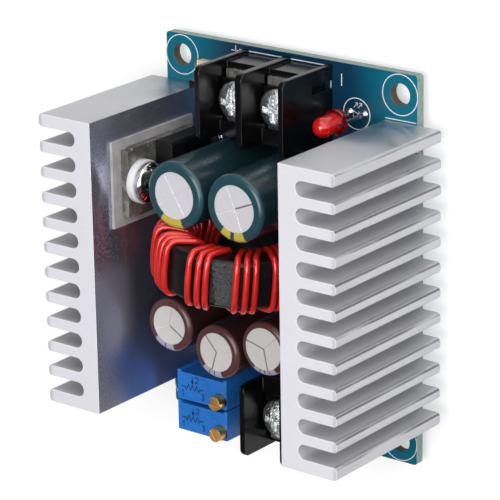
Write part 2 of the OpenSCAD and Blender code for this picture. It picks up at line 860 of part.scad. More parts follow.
module trimmer_body() {
    difference() {
        translate([-trimmer_len / 2, -trimmer_w / 2, 0])
            cube([trimmer_len, trimmer_w, trimmer_h]);
        translate([-trimmer_len / 2 + trimmer_rib, trimmer_w / 2 - trimmer_recess, -overcut])
            cube([trimmer_len - 2 * trimmer_rib, trimmer_recess + overcut, trimmer_h + 2 * overcut]);
        translate([-trimmer_len / 2 + trimmer_foot_len, -trimmer_w / 2 - overcut, -overcut])
            cube([trimmer_len - 2 * trimmer_foot_len, trimmer_w + 2 * overcut,
                trimmer_foot_h + overcut]);
        at_adjuster()
            translate([0, 0, -adjuster_deep - adjuster_gap])
                cylinder(d = adjuster_d + 2 * adjuster_gap, h = adjuster_deep + adjuster_gap + overcut);
    }
}

module at_adjuster() {
    translate([trimmer_len / 2 - adjuster_inset, -trimmer_w / 2 + adjuster_inset, trimmer_h])
        children();
}

module trimmer_screw(i) {
    at_adjuster()
        difference() {
            translate([0, 0, -adjuster_deep])
                cylinder(d = adjuster_d, h = adjuster_deep + adjuster_out);
            rotate(adjuster_slot_angles[i])
                translate([-adjuster_d, -adjuster_slot_w / 2, adjuster_out - adjuster_slot_depth])
                    cube([2 * adjuster_d, adjuster_slot_w, adjuster_slot_depth + overcut]);
        }
}

module trimmer_legs() {
    for (p = trimmer_pins)
        translate([p[0], p[1], -board_t])
            cylinder(d = trimmer_pin_d, h = board_t + trimmer_foot_h);
}

module trimmer_1_body() { color([0.18, 0.45, 0.78]) on_board(trimmers[0]) trimmer_body(); }
module trimmer_1_screw() { color("goldenrod") on_board(trimmers[0]) trimmer_screw(0); }
module trimmer_1_pins() { color("silver") on_board(trimmers[0]) trimmer_legs(); }
module trimmer_2_body() { color([0.18, 0.45, 0.78]) on_board(trimmers[1]) trimmer_body(); }
module trimmer_2_screw() { color("goldenrod") on_board(trimmers[1]) trimmer_screw(1); }
module trimmer_2_pins() { color("silver") on_board(trimmers[1]) trimmer_legs(); }

// Indicator lamp

module led_lens() {
    color("red")
        on_board([lamp_x, lamp_y])
            translate([0, 0, lens_lift]) {
                difference() {
                    cylinder(d = flange_d, h = flange_h);
                    translate([flange_d / 2 - flange_flat, -flange_d / 2, -overcut])
                        cube([flange_d, flange_d, flange_h + 2 * overcut]);
                }
                cylinder(d = lens_d, h = lens_body_h - lens_d / 2);
                translate([0, 0, lens_body_h - lens_d / 2])
                    sphere(d = lens_d);
            }
}

module led_leads() {
    color("silver")
        for (h = lamp_holes)
            translate([h[0] - lamp_lead_w / 2, h[1] - lamp_lead_w / 2, 0])
                cube([lamp_lead_w, lamp_lead_w, board_t + lens_lift]);
}

// Chips and chip parts, drawn upright and turned over on to the underside

module under_board(p) {
    translate([p[0], p[1], 0])
        rotate([180, 0, 0])
            children();
}

module chip_body(length, at) {
    half = chip_w / 2;
    low = chip_standoff;
    middle = chip_standoff + chip_body_h / 2;
    high = chip_standoff + chip_body_h;
    under_board(at)
        rotate([90, 0, 90])
            translate([0, 0, -length / 2])
                linear_extrude(length)
                    polygon([
                        [-half + chip_bevel, low], [half - chip_bevel, low], [half, middle],
                        [half - chip_bevel, high], [-half + chip_bevel, high], [-half, middle]]);
}

// A gull-wing lead from the widest line of the body out and down to the board
module gull_lead() {
    start = chip_w / 2;
    high = chip_standoff + chip_body_h / 2;
    knee = start + (chip_span / 2 - start) * chip_knee_share;
    rotate([90, 0, 90])
        translate([0, 0, -chip_lead_w / 2])
            linear_extrude(chip_lead_w)
                polygon([
                    [start, high], [knee + chip_lead_t, high], [knee + chip_lead_t, chip_lead_t],
                    [chip_span / 2, chip_lead_t], [chip_span / 2, 0], [knee, 0],
                    [knee, high - chip_lead_t], [start, high - chip_lead_t]]);
}

module chip_leads(count, at) {
    under_board(at)
        for (i = [0:count - 1], turn = [0, 180])
            rotate(turn)
                translate([(i - (count - 1) / 2) * chip_lead_pitch, 0, 0])
                    gull_lead();
}

module controller_body() { color([0.15, 0.15, 0.16]) chip_body(controller_len, controller_at); }
module controller_leads() { color("silver") chip_leads(controller_leads_a_side, controller_at); }
module amplifier_body() { color([0.15, 0.15, 0.16]) chip_body(amplifier_len, amplifier_at); }
module amplifier_leads() { color("silver") chip_leads(amplifier_leads_a_side, amplifier_at); }

// The block of a two-ended chip part between its end caps
module chip_block(size) {
    translate([-size[0] / 2 + end_cap_len, -size[1] / 2, 0])
        cube([size[0] - 2 * end_cap_len, size[1], size[2]]);
}

module chip_ends(size) {
    for (x = [-size[0] / 2, size[0] / 2 - end_cap_len])
        translate([x, -size[1] / 2, 0])
            cube([end_cap_len, size[1], size[2]]);
}

module at_resistors() {
    for (i = [0:resistor_count - 1])
        under_board(resistor_at + [0, i * resistor_step])
            children();
}

module at_ceramics() {
    for (p = ceramic_at)
        under_board(p)
            children();
    on_board(top_ceramic_at)
        children();
}

module shunt_resistor() { color([0.2, 0.2, 0.2]) under_board(shunt_at) chip_block(shunt_size); }
module chip_resistors() { color([0.2, 0.2, 0.2]) at_resistors() chip_block(resistor_size); }
module chip_capacitors() { color("tan") at_ceramics() chip_block(ceramic_size); }

module chip_end_caps() {
    color("silver") {
        under_board(shunt_at)
            chip_ends(shunt_size);
        at_resistors()
            chip_ends(resistor_size);
        at_ceramics()
            chip_ends(ceramic_size);
    }
}

// Solder joints: a cone round each lead, drawn out to a trimmed tip

module solder_joints() {
    cone_h = tip_len * cone_share;
    color("lightsteelblue")
        for (h = lead_holes) {
            tip_d = max(tip_min_d, h[2] - hole_clear);
            translate([h[0], h[1], -cone_h])
                cylinder(d1 = tip_d, d2 = h[2] + 2 * pad_rim, h = cone_h);
            translate([h[0], h[1], -tip_len])
                cylinder(d = tip_d, h = tip_len);
        }
}

pcb();
heatsink_left();
heatsink_right();
transistor_pad();
transistor_leadframe();
transistor_body();
transistor_bush();
transistor_screw();
rectifier_pad();
rectifier_leadframe();
rectifier_body();
rectifier_bush();
rectifier_screw();
input_terminal_housing();
input_terminal_contacts();
input_terminal_clamps();
input_terminal_screws();
output_terminal_housing();
output_terminal_contacts();
output_terminal_clamps();
output_terminal_screws();
input_capacitor_1_can();
input_capacitor_1_sleeve();
input_capacitor_2_can();
input_capacitor_2_sleeve();
output_capacitor_1_can();
output_capacitor_1_sleeve();
output_capacitor_2_can();
output_capacitor_2_sleeve();
output_capacitor_3_can();
output_capacitor_3_sleeve();
capacitor_bungs();
capacitor_leads();
toroid_core();
toroid_winding();
trimmer_1_body();
trimmer_1_screw();
trimmer_1_pins();
trimmer_2_body();
trimmer_2_screw();
trimmer_2_pins();
led_lens();
led_leads();
controller_body();
controller_leads();
amplifier_body();
amplifier_leads();
shunt_resistor();
chip_resistors();
chip_capacitors();
chip_end_caps();
solder_joints();
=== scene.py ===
"""Looks of a step-down power supply module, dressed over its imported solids.

Every solid gets a procedural finish and softened edges. New pieces add what the solids leave
out: the smooth wire of the winding, the board's print, tracks and pads, the solder on its
upper side, the frame inside the lamp and the marks on the trimmers.
Lengths are in millimetres and become metres where a mesh is made.
"""

import json
import math
import random

import bmesh
import bpy
from mathutils import Matrix, Vector


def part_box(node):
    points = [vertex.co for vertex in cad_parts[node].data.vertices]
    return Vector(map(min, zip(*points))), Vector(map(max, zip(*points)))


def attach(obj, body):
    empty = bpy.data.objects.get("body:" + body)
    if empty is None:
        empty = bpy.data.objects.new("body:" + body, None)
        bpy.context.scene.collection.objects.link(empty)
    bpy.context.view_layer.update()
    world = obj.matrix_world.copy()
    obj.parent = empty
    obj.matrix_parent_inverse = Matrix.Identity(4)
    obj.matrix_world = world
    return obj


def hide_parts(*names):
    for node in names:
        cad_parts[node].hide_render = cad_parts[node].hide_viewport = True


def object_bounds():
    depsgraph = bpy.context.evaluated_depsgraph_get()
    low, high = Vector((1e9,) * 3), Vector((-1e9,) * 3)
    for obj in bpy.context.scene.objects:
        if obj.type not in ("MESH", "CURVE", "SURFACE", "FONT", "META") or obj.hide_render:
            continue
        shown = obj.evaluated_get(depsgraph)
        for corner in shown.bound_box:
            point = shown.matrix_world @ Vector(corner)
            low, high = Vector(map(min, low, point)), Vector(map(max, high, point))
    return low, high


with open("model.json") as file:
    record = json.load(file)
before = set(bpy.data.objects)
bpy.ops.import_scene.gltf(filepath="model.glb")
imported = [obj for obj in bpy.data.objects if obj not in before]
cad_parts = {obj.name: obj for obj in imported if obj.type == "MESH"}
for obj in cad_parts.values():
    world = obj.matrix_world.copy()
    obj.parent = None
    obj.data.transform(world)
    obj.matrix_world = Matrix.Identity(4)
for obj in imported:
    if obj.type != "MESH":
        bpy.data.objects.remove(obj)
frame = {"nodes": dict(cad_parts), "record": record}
nodes = frame["nodes"]
cad_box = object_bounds()

MM = 0.001
BODY = "module"


def box_mm(node):
    """Lowest and highest corner of a CAD node, in millimetres."""
    low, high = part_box(node)
    return low / MM, high / MM


def middle_mm(node):
    low, high = box_mm(node)
    return (low + high) / 2


board_low, board_high = box_mm("pcb")
ring_centre = middle_mm("toroid_core")
mounting = frame["record"]["mounts"][0]["dims"]
hole_x = mounting["spacing_x_mm"] / 2
hole_y = mounting["spacing_y_mm"] / 2


# Materials

# Places of the factor and the two colours among a Mix node's inputs, and of its colour output
MIX_COLOR_INPUTS = (0, 6, 7)
MIX_COLOR_OUTPUT = 2


class Finish:
    """A material on the Principled shader, with short calls that build its node tree."""

    def __init__(self, name, color, **sockets):
        self.material = bpy.data.materials.new(name)
        self.material.use_nodes = True
        self.tree = self.material.node_tree
        self.shader = self.tree.nodes["Principled BSDF"]
        self.place = self.node("TexCoord").outputs["Object"]
        self.set(base_color=color, **sockets)

    def feed(self, socket, value):
        """Links a node's output to a socket, or gives the socket a plain value."""
        if isinstance(value, bpy.types.NodeSocket):
            self.tree.links.new(value, socket)
        elif isinstance(value, tuple) and len(value) == 3 and socket.type == "RGBA":
            socket.default_value = (*value, 1.0)
        else:
            socket.default_value = value

    def set(self, **sockets):
        for name, value in sockets.items():
            label = name.replace("_", " ").title().replace("Ior", "IOR")
            self.feed(self.shader.inputs[label], value)

    def node(self, kind, settings=None, **inputs):
        made = self.tree.nodes.new("ShaderNode" + kind)
        for name, value in (settings or {}).items():
            setattr(made, name, value)
        for name, value in inputs.items():
            self.feed(made.inputs[name.replace("_", " ")], value)
        return made

    def math(self, operation, *values):
        """What a Math node makes of one or more values."""
        made = self.node("Math", {"operation": operation})
        for socket, value in zip(made.inputs, values):
            self.feed(socket, value)
        return made.outputs[0]

    def both(self, *shares):
        """Where all of the shares hold: their product."""
        result = shares[0]
        for share in shares[1:]:
            result = self.math("MULTIPLY", result, share)
        return result

    def span(self, value, start, end, low=0.0, high=1.0):
        """Takes start..end smoothly to low..high, and stays there outside."""
        made = self.node("MapRange", {"interpolation_type": "SMOOTHSTEP"}, Value=value,
                         From_Min=start, From_Max=end, To_Min=low, To_Max=high)
        return made.outputs["Result"]

    def mix(self, share, first, second):
        """The first colour, and the second to the extent of the share."""
        made = self.node("Mix", {"data_type": "RGBA"})
        for index, value in zip(MIX_COLOR_INPUTS, (share, first, second)):
            self.feed(made.inputs[index], value)
        return made.outputs[MIX_COLOR_OUTPUT]

    def local(self, centre, turn=0.0):
        """x, y and z in metres about a point in millimetres, turned about Z by degrees."""
        placed = self.node("Mapping", {"vector_type": "TEXTURE"}, Vector=self.place,
                           Location=Vector(centre) * MM, Rotation=(0, 0, math.radians(turn)))
        return self.node("SeparateXYZ", Vector=placed.outputs[0]).outputs

    def noise(self, per_mm, stretch=(1, 1, 1), turn=(0, 0, 0), detail=3.0, roughness=0.55):
        """Noise of so many features to a millimetre, times a stretch along each turned axis."""
        cell = Vector([MM / (per_mm * s) for s in stretch])
        angles = tuple(math.radians(a) for a in turn)
        placed = self.node("Mapping", {"vector_type": "TEXTURE"}, Vector=self.place, Scale=cell,
                           Rotation=angles)
        made = self.node("TexNoise", Vector=placed.outputs[0], Scale=1.0, Detail=detail,
                         Roughness=roughness)
        return made.outputs["Fac"]

    def cells(self, per_mm):
        """Distance from the nearest of so many scattered points to a millimetre."""
        placed = self.node("Mapping", Vector=self.place, Scale=Vector((1, 1, 1)) * (per_mm / MM))
        return self.node("TexVoronoi", Vector=placed.outputs[0], Scale=1.0).outputs["Distance"]

    def wander(self, per_mm, reach):
        """A shift of up to about half a reach either way, in the units of the reach."""
        return self.math("MULTIPLY", self.math("SUBTRACT", self.noise(per_mm), 0.5), reach)

    def facing(self, axis):
        """1 where the surface faces along an axis either way, 0 where it lies along it."""
        normal = self.node("NewGeometry").outputs["Normal"]
        return self.math("ABSOLUTE", self.node("SeparateXYZ", Vector=normal).outputs[axis])

    def bump(self, height, depth):
        """Relief from a height of 0..1 that stands for a depth in millimetres."""
        self.set(normal=self.node("Bump", Height=height, Distance=depth * MM).outputs[0])


def shade(color, factor):
    return tuple(c * factor for c in color)


# Heatsinks: tones of their faces, each pair from the darker to the lighter
ALUMINIUM = (0.55, 0.55, 0.57)
FIN_TONES = ((0.52, 0.52, 0.55), (0.66, 0.66, 0.69))
# Painted highlight: a lighter tone for the outer faces and the fin tips
FIN_HIGHLIGHT_TONE = (0.70, 0.70, 0.73)
# Painted shade: a dark band on the upward side of each fin tip's rounding
TIP_SHADE_TONE = (0.16, 0.16, 0.17)
PLATE_TONES = ((0.47, 0.47, 0.60), (0.57, 0.57, 0.72))
HAZE_TONE = (0.045, 0.047, 0.078)
SCRATCH_TONE = (0.26, 0.26, 0.29)
NICK_TONE = (0.10, 0.10, 0.10)
SAWN_TONES = ((0.74, 0.73, 0.79), (0.81, 0.80, 0.86))
RUB_TONE = (0.62, 0.62, 0.64)
# Height of the rubbed patch on the flat face, from the middle of the length
RUBBED_Y = -7.0
# Direction in which the profile is drawn, a little off Z so that no cut face is square to it
DRAWN_ALONG = (0.05, 0.0, 1.0)


def heatsink_faces(made, low, high):
    """Shares of a heatsink's cut ends, its flat face, its outer faces and fin tips that carry a
    painted highlight, and a painted dark band on its fin tips.
    """
    half_y = (high.y - low.y) / 2 * MM
    flat_x, tip_x = sorted((abs(low.x) * MM, abs(high.x) * MM))
    x, y, _ = made.local((0, (low.y + high.y) / 2, 0))
    from_middle = made.math("ABSOLUTE", x)
    cut = made.span(made.facing("Z"), 0.55, 0.85)
    flat = made.both(made.span(from_middle, flat_x + 0.3 * MM, flat_x + 0.8 * MM, 1.0, 0.0),
                     made.span(made.facing("X"), 0.6, 0.9))
    outer = made.both(made.span(made.math("ABSOLUTE", y), half_y - 0.3 * MM, half_y - 0.1 * MM),
                      made.span(made.facing("Y"), 0.6, 0.9))
    # The rounded fin tips, painted lighter with the outer faces as a painted highlight
    tip = made.span(from_middle, tip_x - 0.75 * MM, tip_x - 0.6 * MM)
    normal = made.node("NewGeometry").outputs["Normal"]
    upward = made.node("SeparateXYZ", Vector=normal).outputs["Y"]
    # A painted dark band on the upward-facing part of the fin tips' rounding, broken by noise
    tip_shade = made.both(made.span(from_middle, tip_x - 0.32 * MM, tip_x - 0.24 * MM),
                         made.span(from_middle, tip_x - 0.10 * MM, tip_x - 0.04 * MM, 1.0, 0.0),
                         made.span(upward, 0.25, 0.4),
                         made.span(made.noise(0.5, stretch=(1, 1, 0.1)), 0.35, 0.55))
    return cut, flat, made.math("MAXIMUM", outer, tip), tip_shade


def plate_wear(made, low, high, flat):
    """Shares of the haze and of the scratches on a heatsink's flat face."""
    _, y, z = made.local((0, (low.y + high.y) / 2, 0))
    scratch = made.span(made.noise(1.1, stretch=(5, 5, 0.06), turn=(17, 8, 0), detail=2),
                        0.64, 0.70)
    speckle = made.span(made.noise(3.2, detail=4, roughness=0.75), 0.50, 0.58)
    front = made.span(z, (high.z - 8) * MM, (high.z - 1) * MM, 0.1, 0.75)
    off_patch = made.math("ABSOLUTE", made.math("SUBTRACT", y, RUBBED_Y * MM))
    rubbed = made.both(made.span(off_patch, 3 * MM, 9 * MM, 1.0, 0.0),
                       made.span(z, (high.z - 10) * MM, (high.z - 4) * MM),
                       made.span(scratch, 0.0, 1.0, 0.55, 1.0))
    haze = made.math("MAXIMUM", made.both(speckle, front), rubbed)
    return made.both(flat, haze), made.both(flat, scratch)


def aluminium_extrusion(node):
    """One heatsink: satin fins drawn along Z, a scratched flat face and matt saw-cut ends."""
    made = Finish(node, ALUMINIUM, anisotropic=1.0)
    low, high = box_mm(node)
    cut, flat, highlit, tip_shade = heatsink_faces(made, low, high)
    haze, scratch = plate_wear(made, low, high, flat)
    streak = made.noise(2.2, stretch=(1, 1, 0.012), detail=5)
    cloud = made.noise(0.09, detail=4)
    rub = made.span(made.noise(0.3, detail=7, roughness=0.7), 0.60, 0.72)
    nick = made.span(made.noise(2.6, detail=1), 0.77, 0.80)
    saw = made.noise(4.0, stretch=(0.1, 1, 1), detail=4)
    # The outer faces and fin tips are polished and also painted lighter, a painted highlight
    fin = made.mix(highlit, made.mix(streak, *FIN_TONES), FIN_HIGHLIGHT_TONE)
    fin = made.mix(made.both(tip_shade, 0.9), fin, TIP_SHADE_TONE)
    plate = made.mix(haze, made.mix(streak, *PLATE_TONES), HAZE_TONE)
    drawn = made.mix(flat, fin, plate)
    drawn = made.mix(made.both(scratch, 0.6), drawn, SCRATCH_TONE)
    drawn = made.mix(made.both(nick, 0.5), drawn, NICK_TONE)
    sawn = made.mix(made.both(rub, 0.2), made.mix(saw, *SAWN_TONES), RUB_TONE)
    made.set(base_color=made.mix(cut, drawn, sawn))
    metal = made.span(made.math("MAXIMUM", flat, highlit), 0.0, 1.0, 0.25, 0.95)
    worn = made.math("MAXIMUM", haze, made.both(scratch, 0.5))
    metal = made.math("SUBTRACT", metal, made.both(worn, 0.85))
    made.set(metallic=made.both(metal, made.span(cut, 0.0, 1.0, 1.0, 0.35)))
    polish = made.math("MAXIMUM", made.both(highlit, 0.06), made.both(flat, 0.05))
    gloss = made.math("SUBTRACT", made.span(cloud, 0.3, 0.7, 0.32, 0.44), polish)
    made.set(roughness=made.math("ADD", gloss, made.both(cut, 0.5)))
    across = made.node("VectorMath", {"operation": "CROSS_PRODUCT"})
    made.feed(across.inputs[0], made.node("NewGeometry").outputs["Normal"])
    made.feed(across.inputs[1], DRAWN_ALONG)
    made.set(tangent=across.outputs[0])
    made.bump(made.math("ADD", made.both(streak, 0.7), made.both(cut, saw)), 0.003)
    return made


def cast_metal(name, color, roughness, grain_per_mm=3.0, relief=0.01, dull=0.7, metallic=1.0):
    """Bare or plated metal with a mottled gloss and a light grain."""
    made = Finish(name, color, metallic=metallic)
    mottle = made.noise(grain_per_mm * 0.3, detail=4)
    grain = made.noise(grain_per_mm, detail=4, roughness=0.65)
    made.set(base_color=made.mix(made.span(mottle, 0.35, 0.65), shade(color, dull), color))
    made.set(roughness=made.span(mottle, 0.3, 0.7, roughness * 1.35, roughness * 0.8))
    made.bump(grain, relief)
    return made


TAB_METAL = (0.4, 0.39, 0.36)
TAB_TONES = ((0.18, 0.175, 0.16), (0.40, 0.39, 0.365))
TAB_SPOT = (0.09, 0.08, 0.06)


def stained_tab(name):
    """A tinned copper tab, stained and spotted by heat and flux."""
    made = Finish(name, TAB_METAL, metallic=0.75)
    stain = made.span(made.noise(0.45, detail=6, roughness=0.7), 0.44, 0.60)
    spot = made.span(made.noise(3.0, detail=4, roughness=0.7), 0.55, 0.66)
    tone = made.mix(stain, *TAB_TONES)
    made.set(base_color=made.mix(made.both(spot, 0.75), tone, TAB_SPOT))
    made.set(roughness=made.span(stain, 0.0, 1.0, 0.5, 0.34))
    made.bump(made.math("ADD", spot, stain), 0.012)
    return made


def moulded_plastic(name, color, roughness, relief=0.006, light=1.35, specular=0.5):
    """Moulded plastic with a fine spark-eroded grain and a slight change of tone."""
    made = Finish(name, color, specular_ior_level=specular)
    tone = made.noise(0.25, detail=4)
    grain = made.noise(14.0, detail=3, roughness=0.6)
    made.set(base_color=made.mix(made.span(tone, 0.3, 0.7), color, shade(color, light)))
    made.set(roughness=made.span(made.math("ADD", tone, grain), 0.7, 1.3, roughness * 0.85,
                                 roughness * 1.15))
    made.bump(grain, relief)
    return made


GLASS_CLOTH_TONES = ((0.15, 0.22, 0.18), (0.31, 0.41, 0.38))
# Painted shade inside the mounting holes, darker than the cut edge
HOLE_WALL_SHADE = (0.075, 0.070, 0.032)
# Distances from the board's middle over which the mask goes from its painted shade to its painted
# light, laid out like copper under it
PAINTED_LIGHT_FROM = 10
PAINTED_LIGHT_FULL = 20


def solder_mask(name, bare, copper):
    """Glossy mask, painted paler towards the board's long sides and darker in its middle as
    painted light and shade laid out like copper under it, and cut glass-cloth edges.
    """
    made = Finish(name, bare, coat_weight=0.25, coat_roughness=0.1)
    x, y, _ = made.local((0, 0, 0))
    # Painted light and shade: from the bare tone in the middle to the copper tone towards the long
    # sides
    from_middle = made.math("ADD", made.math("ABSOLUTE", x), made.wander(0.08, 8 * MM))
    mask = made.mix(made.span(from_middle, PAINTED_LIGHT_FROM * MM, PAINTED_LIGHT_FULL * MM), bare, copper)
    layer = made.noise(1.0, stretch=(1, 1, 10), detail=4)
    edge = made.mix(made.span(layer, 0.3, 0.7), *GLASS_CLOTH_TONES)
    off_x = made.math("SUBTRACT", made.math("ABSOLUTE", x), hole_x * MM)
    off_y = made.math("SUBTRACT", made.math("ABSOLUTE", y), hole_y * MM)
    from_hole = made.math("SQRT", made.math("ADD", made.both(off_x, off_x),
                                            made.both(off_y, off_y)))
    # The mounting holes' walls take the painted shade
    drilled = made.span(from_hole, 1.9 * MM, 2.1 * MM, 1.0, 0.0)
    wall = made.mix(drilled, edge, HOLE_WALL_SHADE)
    flat = made.span(made.facing("Z"), 0.5, 0.8)
    made.set(base_color=made.mix(flat, wall, mask))
    made.set(roughness=made.span(flat, 0.0, 1.0, 0.65, 0.28))
    made.bump(made.noise(1.8, detail=2), 0.004)
    return made


# Distance between the bare dashes in the stripe of a sleeve
DASH_PITCH = 2.6


def shrink_sleeve(name, centre, color, stripe_color, stripe):
    """Glossy shrink film with a printed stripe, its sides darker than its rim as painted shade.

    stripe gives its middle and half-width in degrees, and the gaps in it as pairs of
    offset and half-width.
    """
    made = Finish(name, color, coat_weight=0.3, coat_roughness=0.05)
    angle, half, gaps = stripe
    x, y, z = made.local(centre, angle)
    theta = made.math("DEGREES", made.math("ARCTAN2", y, x))
    away = made.math("ABSOLUTE", theta)
    ink = made.span(made.math("ADD", away, made.wander(2.0, 3.0)), half - 0.8, half + 0.8,
                    1.0, 0.0)
    for offset, gap in gaps:
        off = made.math("ABSOLUTE", made.math("SUBTRACT", theta, offset))
        ink = made.both(ink, made.span(off, gap - 0.6, gap + 0.6))
    pitch = made.math("PINGPONG", z, DASH_PITCH * MM)
    dash = made.both(made.span(pitch, 0.28 * MM, 0.34 * MM, 1.0, 0.0),
                     made.span(away, half * 0.5, half * 0.56, 1.0, 0.0))
    side = made.span(made.facing("Z"), 0.2, 0.5, 1.0, 0.0)
    ink = made.both(ink, made.math("SUBTRACT", 1.0, made.both(dash, side)))
    tone = made.mix(made.span(made.noise(0.3, detail=4), 0.35, 0.65), color, shade(color, 1.15))
    # Painted shade: the sides are darker than the rim, at half the colour.
    tone = made.mix(side, tone, shade(color, 0.5))
    made.set(base_color=made.mix(ink, tone, stripe_color))
    made.set(roughness=made.span(made.noise(1.2, detail=4), 0.3, 0.7, 0.27, 0.36))
    made.bump(made.noise(0.35, stretch=(1, 1, 0.3), detail=2), 0.03)
    return made


def can_metal(name, centre, color, shaded_vents):
    """The bare end of a can: lacquered aluminium, with painted shade along vent grooves given in
    degrees.
    """
    made = Finish(name, color, metallic=0.3)
    speckle = made.span(made.noise(4.0, detail=5, roughness=0.7), 0.35, 0.7)
    smear = made.noise(0.5, stretch=(1, 0.5, 1), turn=(0, 0, 35), detail=5)
    tone = made.mix(made.span(smear, 0.35, 0.7), shade(color, 0.92), color)
    tone = made.mix(made.both(speckle, 0.5), tone, shade(color, 0.84))
    for angle in shaded_vents:
        x, y, _ = made.local(centre, angle)
        off = made.math("ADD", made.math("ABSOLUTE", y), made.wander(3.0, 0.12 * MM))
        line = made.both(made.span(off, 0.08 * MM, 0.16 * MM, 0.8, 0.0),
                         made.span(x, 0.0, 0.1 * MM))
        # Painted shade darkens each listed vent groove along its length.
        tone = made.mix(line, tone, shade(color, 0.16))
    made.set(base_color=tone)
    made.set(roughness=made.span(smear, 0.3, 0.7, 0.52, 0.38))
    made.bump(speckle, 0.008)
    return made


CORE_BLACK = (0.004, 0.004, 0.005)
COAT_TONES = ((0.003, 0.003, 0.004), (0.008, 0.008, 0.009))
POWDER_TONES = ((0.024, 0.024, 0.027), (0.078, 0.078, 0.085))
PIT_TONE = (0.006, 0.006, 0.006)
# Place of the worn patch along X, from the ring's middle
WORN_X = 5.6


def powder_core(name):
    """A smooth black coat, worn through to grey pressed powder on top of the ring."""
    made = Finish(name, CORE_BLACK, specular_ior_level=0.4)
    x, _, z = made.local(ring_centre)
    off = made.math("ABSOLUTE", made.math("ADD", made.math("SUBTRACT", x, WORN_X * MM),
                                          made.wander(1.4, 1.6 * MM)))
    top = made.both(made.span(off, 1.3 * MM, 1.6 * MM, 1.0, 0.0), made.span(z, 6 * MM, 7 * MM),
                    made.span(made.facing("Y"), 0.3, 0.6, 1.0, 0.0))
    pit = made.span(made.cells(3.4), 0.16, 0.42)
    grain = made.noise(5.0, detail=5, roughness=0.7)
    worn = made.mix(pit, PIT_TONE, made.mix(grain, *POWDER_TONES))
    coat = made.mix(made.span(made.noise(0.5, detail=5), 0.45, 0.7), *COAT_TONES)
    made.set(base_color=made.mix(top, coat, worn))
    made.set(roughness=made.span(top, 0.0, 1.0, 0.34, 0.7))
    ripple = made.noise(1.2, detail=4)
    made.bump(made.math("ADD", made.both(top, made.math("ADD", pit, grain)), ripple), 0.05)
    return made


ENAMEL_RED = (0.70, 0.016, 0.012)
ENAMEL_TONES = ((0.68, 0.014, 0.011), (0.76, 0.022, 0.016))


def wire_enamel(name):
    """Clear red enamel over drawn copper."""
    made = Finish(name, ENAMEL_RED, metallic=0.3, coat_weight=1.0, coat_roughness=0.04)
    tone = made.span(made.noise(0.35, detail=3), 0.35, 0.65)
    made.set(base_color=made.mix(tone, *ENAMEL_TONES))
    made.set(roughness=made.span(tone, 0.0, 1.0, 0.30, 0.38))
    made.bump(made.noise(0.6, detail=2), 0.001)
    return made


SILICONE_GREY = (0.27, 0.26, 0.26)
SILICONE_TONES = ((0.30, 0.29, 0.29), (0.42, 0.41, 0.41))
# Threads of the cloth in the pad, in radians to a millimetre
WEAVE = 9.0


def silicone_pad(name):
    """Grey silicone over a glass cloth, whose weave shows as a fine relief."""
    made = Finish(name, SILICONE_GREY)
    _, y, z = made.local((0, 0, 0))
    weft = made.math("SINE", made.math("MULTIPLY", y, WEAVE / MM))
    warp = made.math("SINE", made.math("MULTIPLY", z, WEAVE / MM))
    tone = made.noise(0.35, detail=4)
    made.set(base_color=made.mix(made.span(tone, 0.3, 0.7), *SILICONE_TONES))
    made.set(roughness=made.span(tone, 0.3, 0.7, 0.62, 0.45))
    made.bump(made.both(weft, warp), 0.010)
    return made


RESIN_RED = (0.9, 0.008, 0.008)
RESIN_TONES = ((0.86, 0.004, 0.004), (0.95, 0.014, 0.012))
FLANGE_TOP = (box_mm("led_lens")[0].z + 1.0) * MM


def lamp_resin(name):
    """Tinted red resin, clear in the flange and slightly clouded in the dome."""
    made = Finish(name, RESIN_RED, ior=1.5, subsurface_weight=0.35, subsurface_scale=0.0012,
                  coat_weight=0.6, coat_roughness=0.03)
    _, _, z = made.local((0, 0, 0))
    haze = made.noise(1.4, detail=3)
    flange = made.span(z, FLANGE_TOP - 0.1 * MM, FLANGE_TOP + 0.5 * MM, 1.0, 0.0)
    made.set(base_color=made.mix(haze, *RESIN_TONES))
    made.set(transmission_weight=made.span(flange, 0.0, 1.0, 0.5, 0.95))
    made.set(roughness=made.span(haze, 0.3, 0.7, 0.04, 0.12))
    return made


def printed_ink(name, color):
    """Flat ink, a little worn."""
    made = Finish(name, color)
    wear = made.noise(2.2, detail=5, roughness=0.7)
    made.set(base_color=made.mix(made.span(wear, 0.3, 0.6), shade(color, 0.78), color))
    made.set(roughness=made.span(wear, 0.3, 0.7, 0.62, 0.46))
    made.bump(wear, 0.004)
    return made


def axis_mm(node):
    """Where the upright axis of a round node meets the height of 0."""
    at = middle_mm(node)
    return Vector((at.x, at.y, 0))


# Sleeves: colour, colour of the stripe, and its angle, half-width and gaps in degrees
GREEN_SLEEVE = (0.014, 0.056, 0.072)
GREEN_STRIPE = (0.50, 0.41, 0.06)
BROWN_SLEEVE = (0.085, 0.030, 0.030)
BROWN_STRIPE = (0.38, 0.36, 0.45)
SLEEVES = {
    "input_capacitor_1_sleeve": (GREEN_SLEEVE, GREEN_STRIPE, (262, 26, ())),
    "input_capacitor_2_sleeve": (GREEN_SLEEVE, GREEN_STRIPE, (265.5, 28, ((-1, 4.5),))),
    "output_capacitor_1_sleeve": (BROWN_SLEEVE, BROWN_STRIPE, (253, 30, ((3, 1.6),))),
    "output_capacitor_2_sleeve": (BROWN_SLEEVE, BROWN_STRIPE, (257, 29, ((-8, 1.4), (7, 1.4)))),
    "output_capacitor_3_sleeve": (BROWN_SLEEVE, BROWN_STRIPE,
                                  (273, 32, ((-14, 1.4), (0, 1.4), (14, 1.4)))),
}

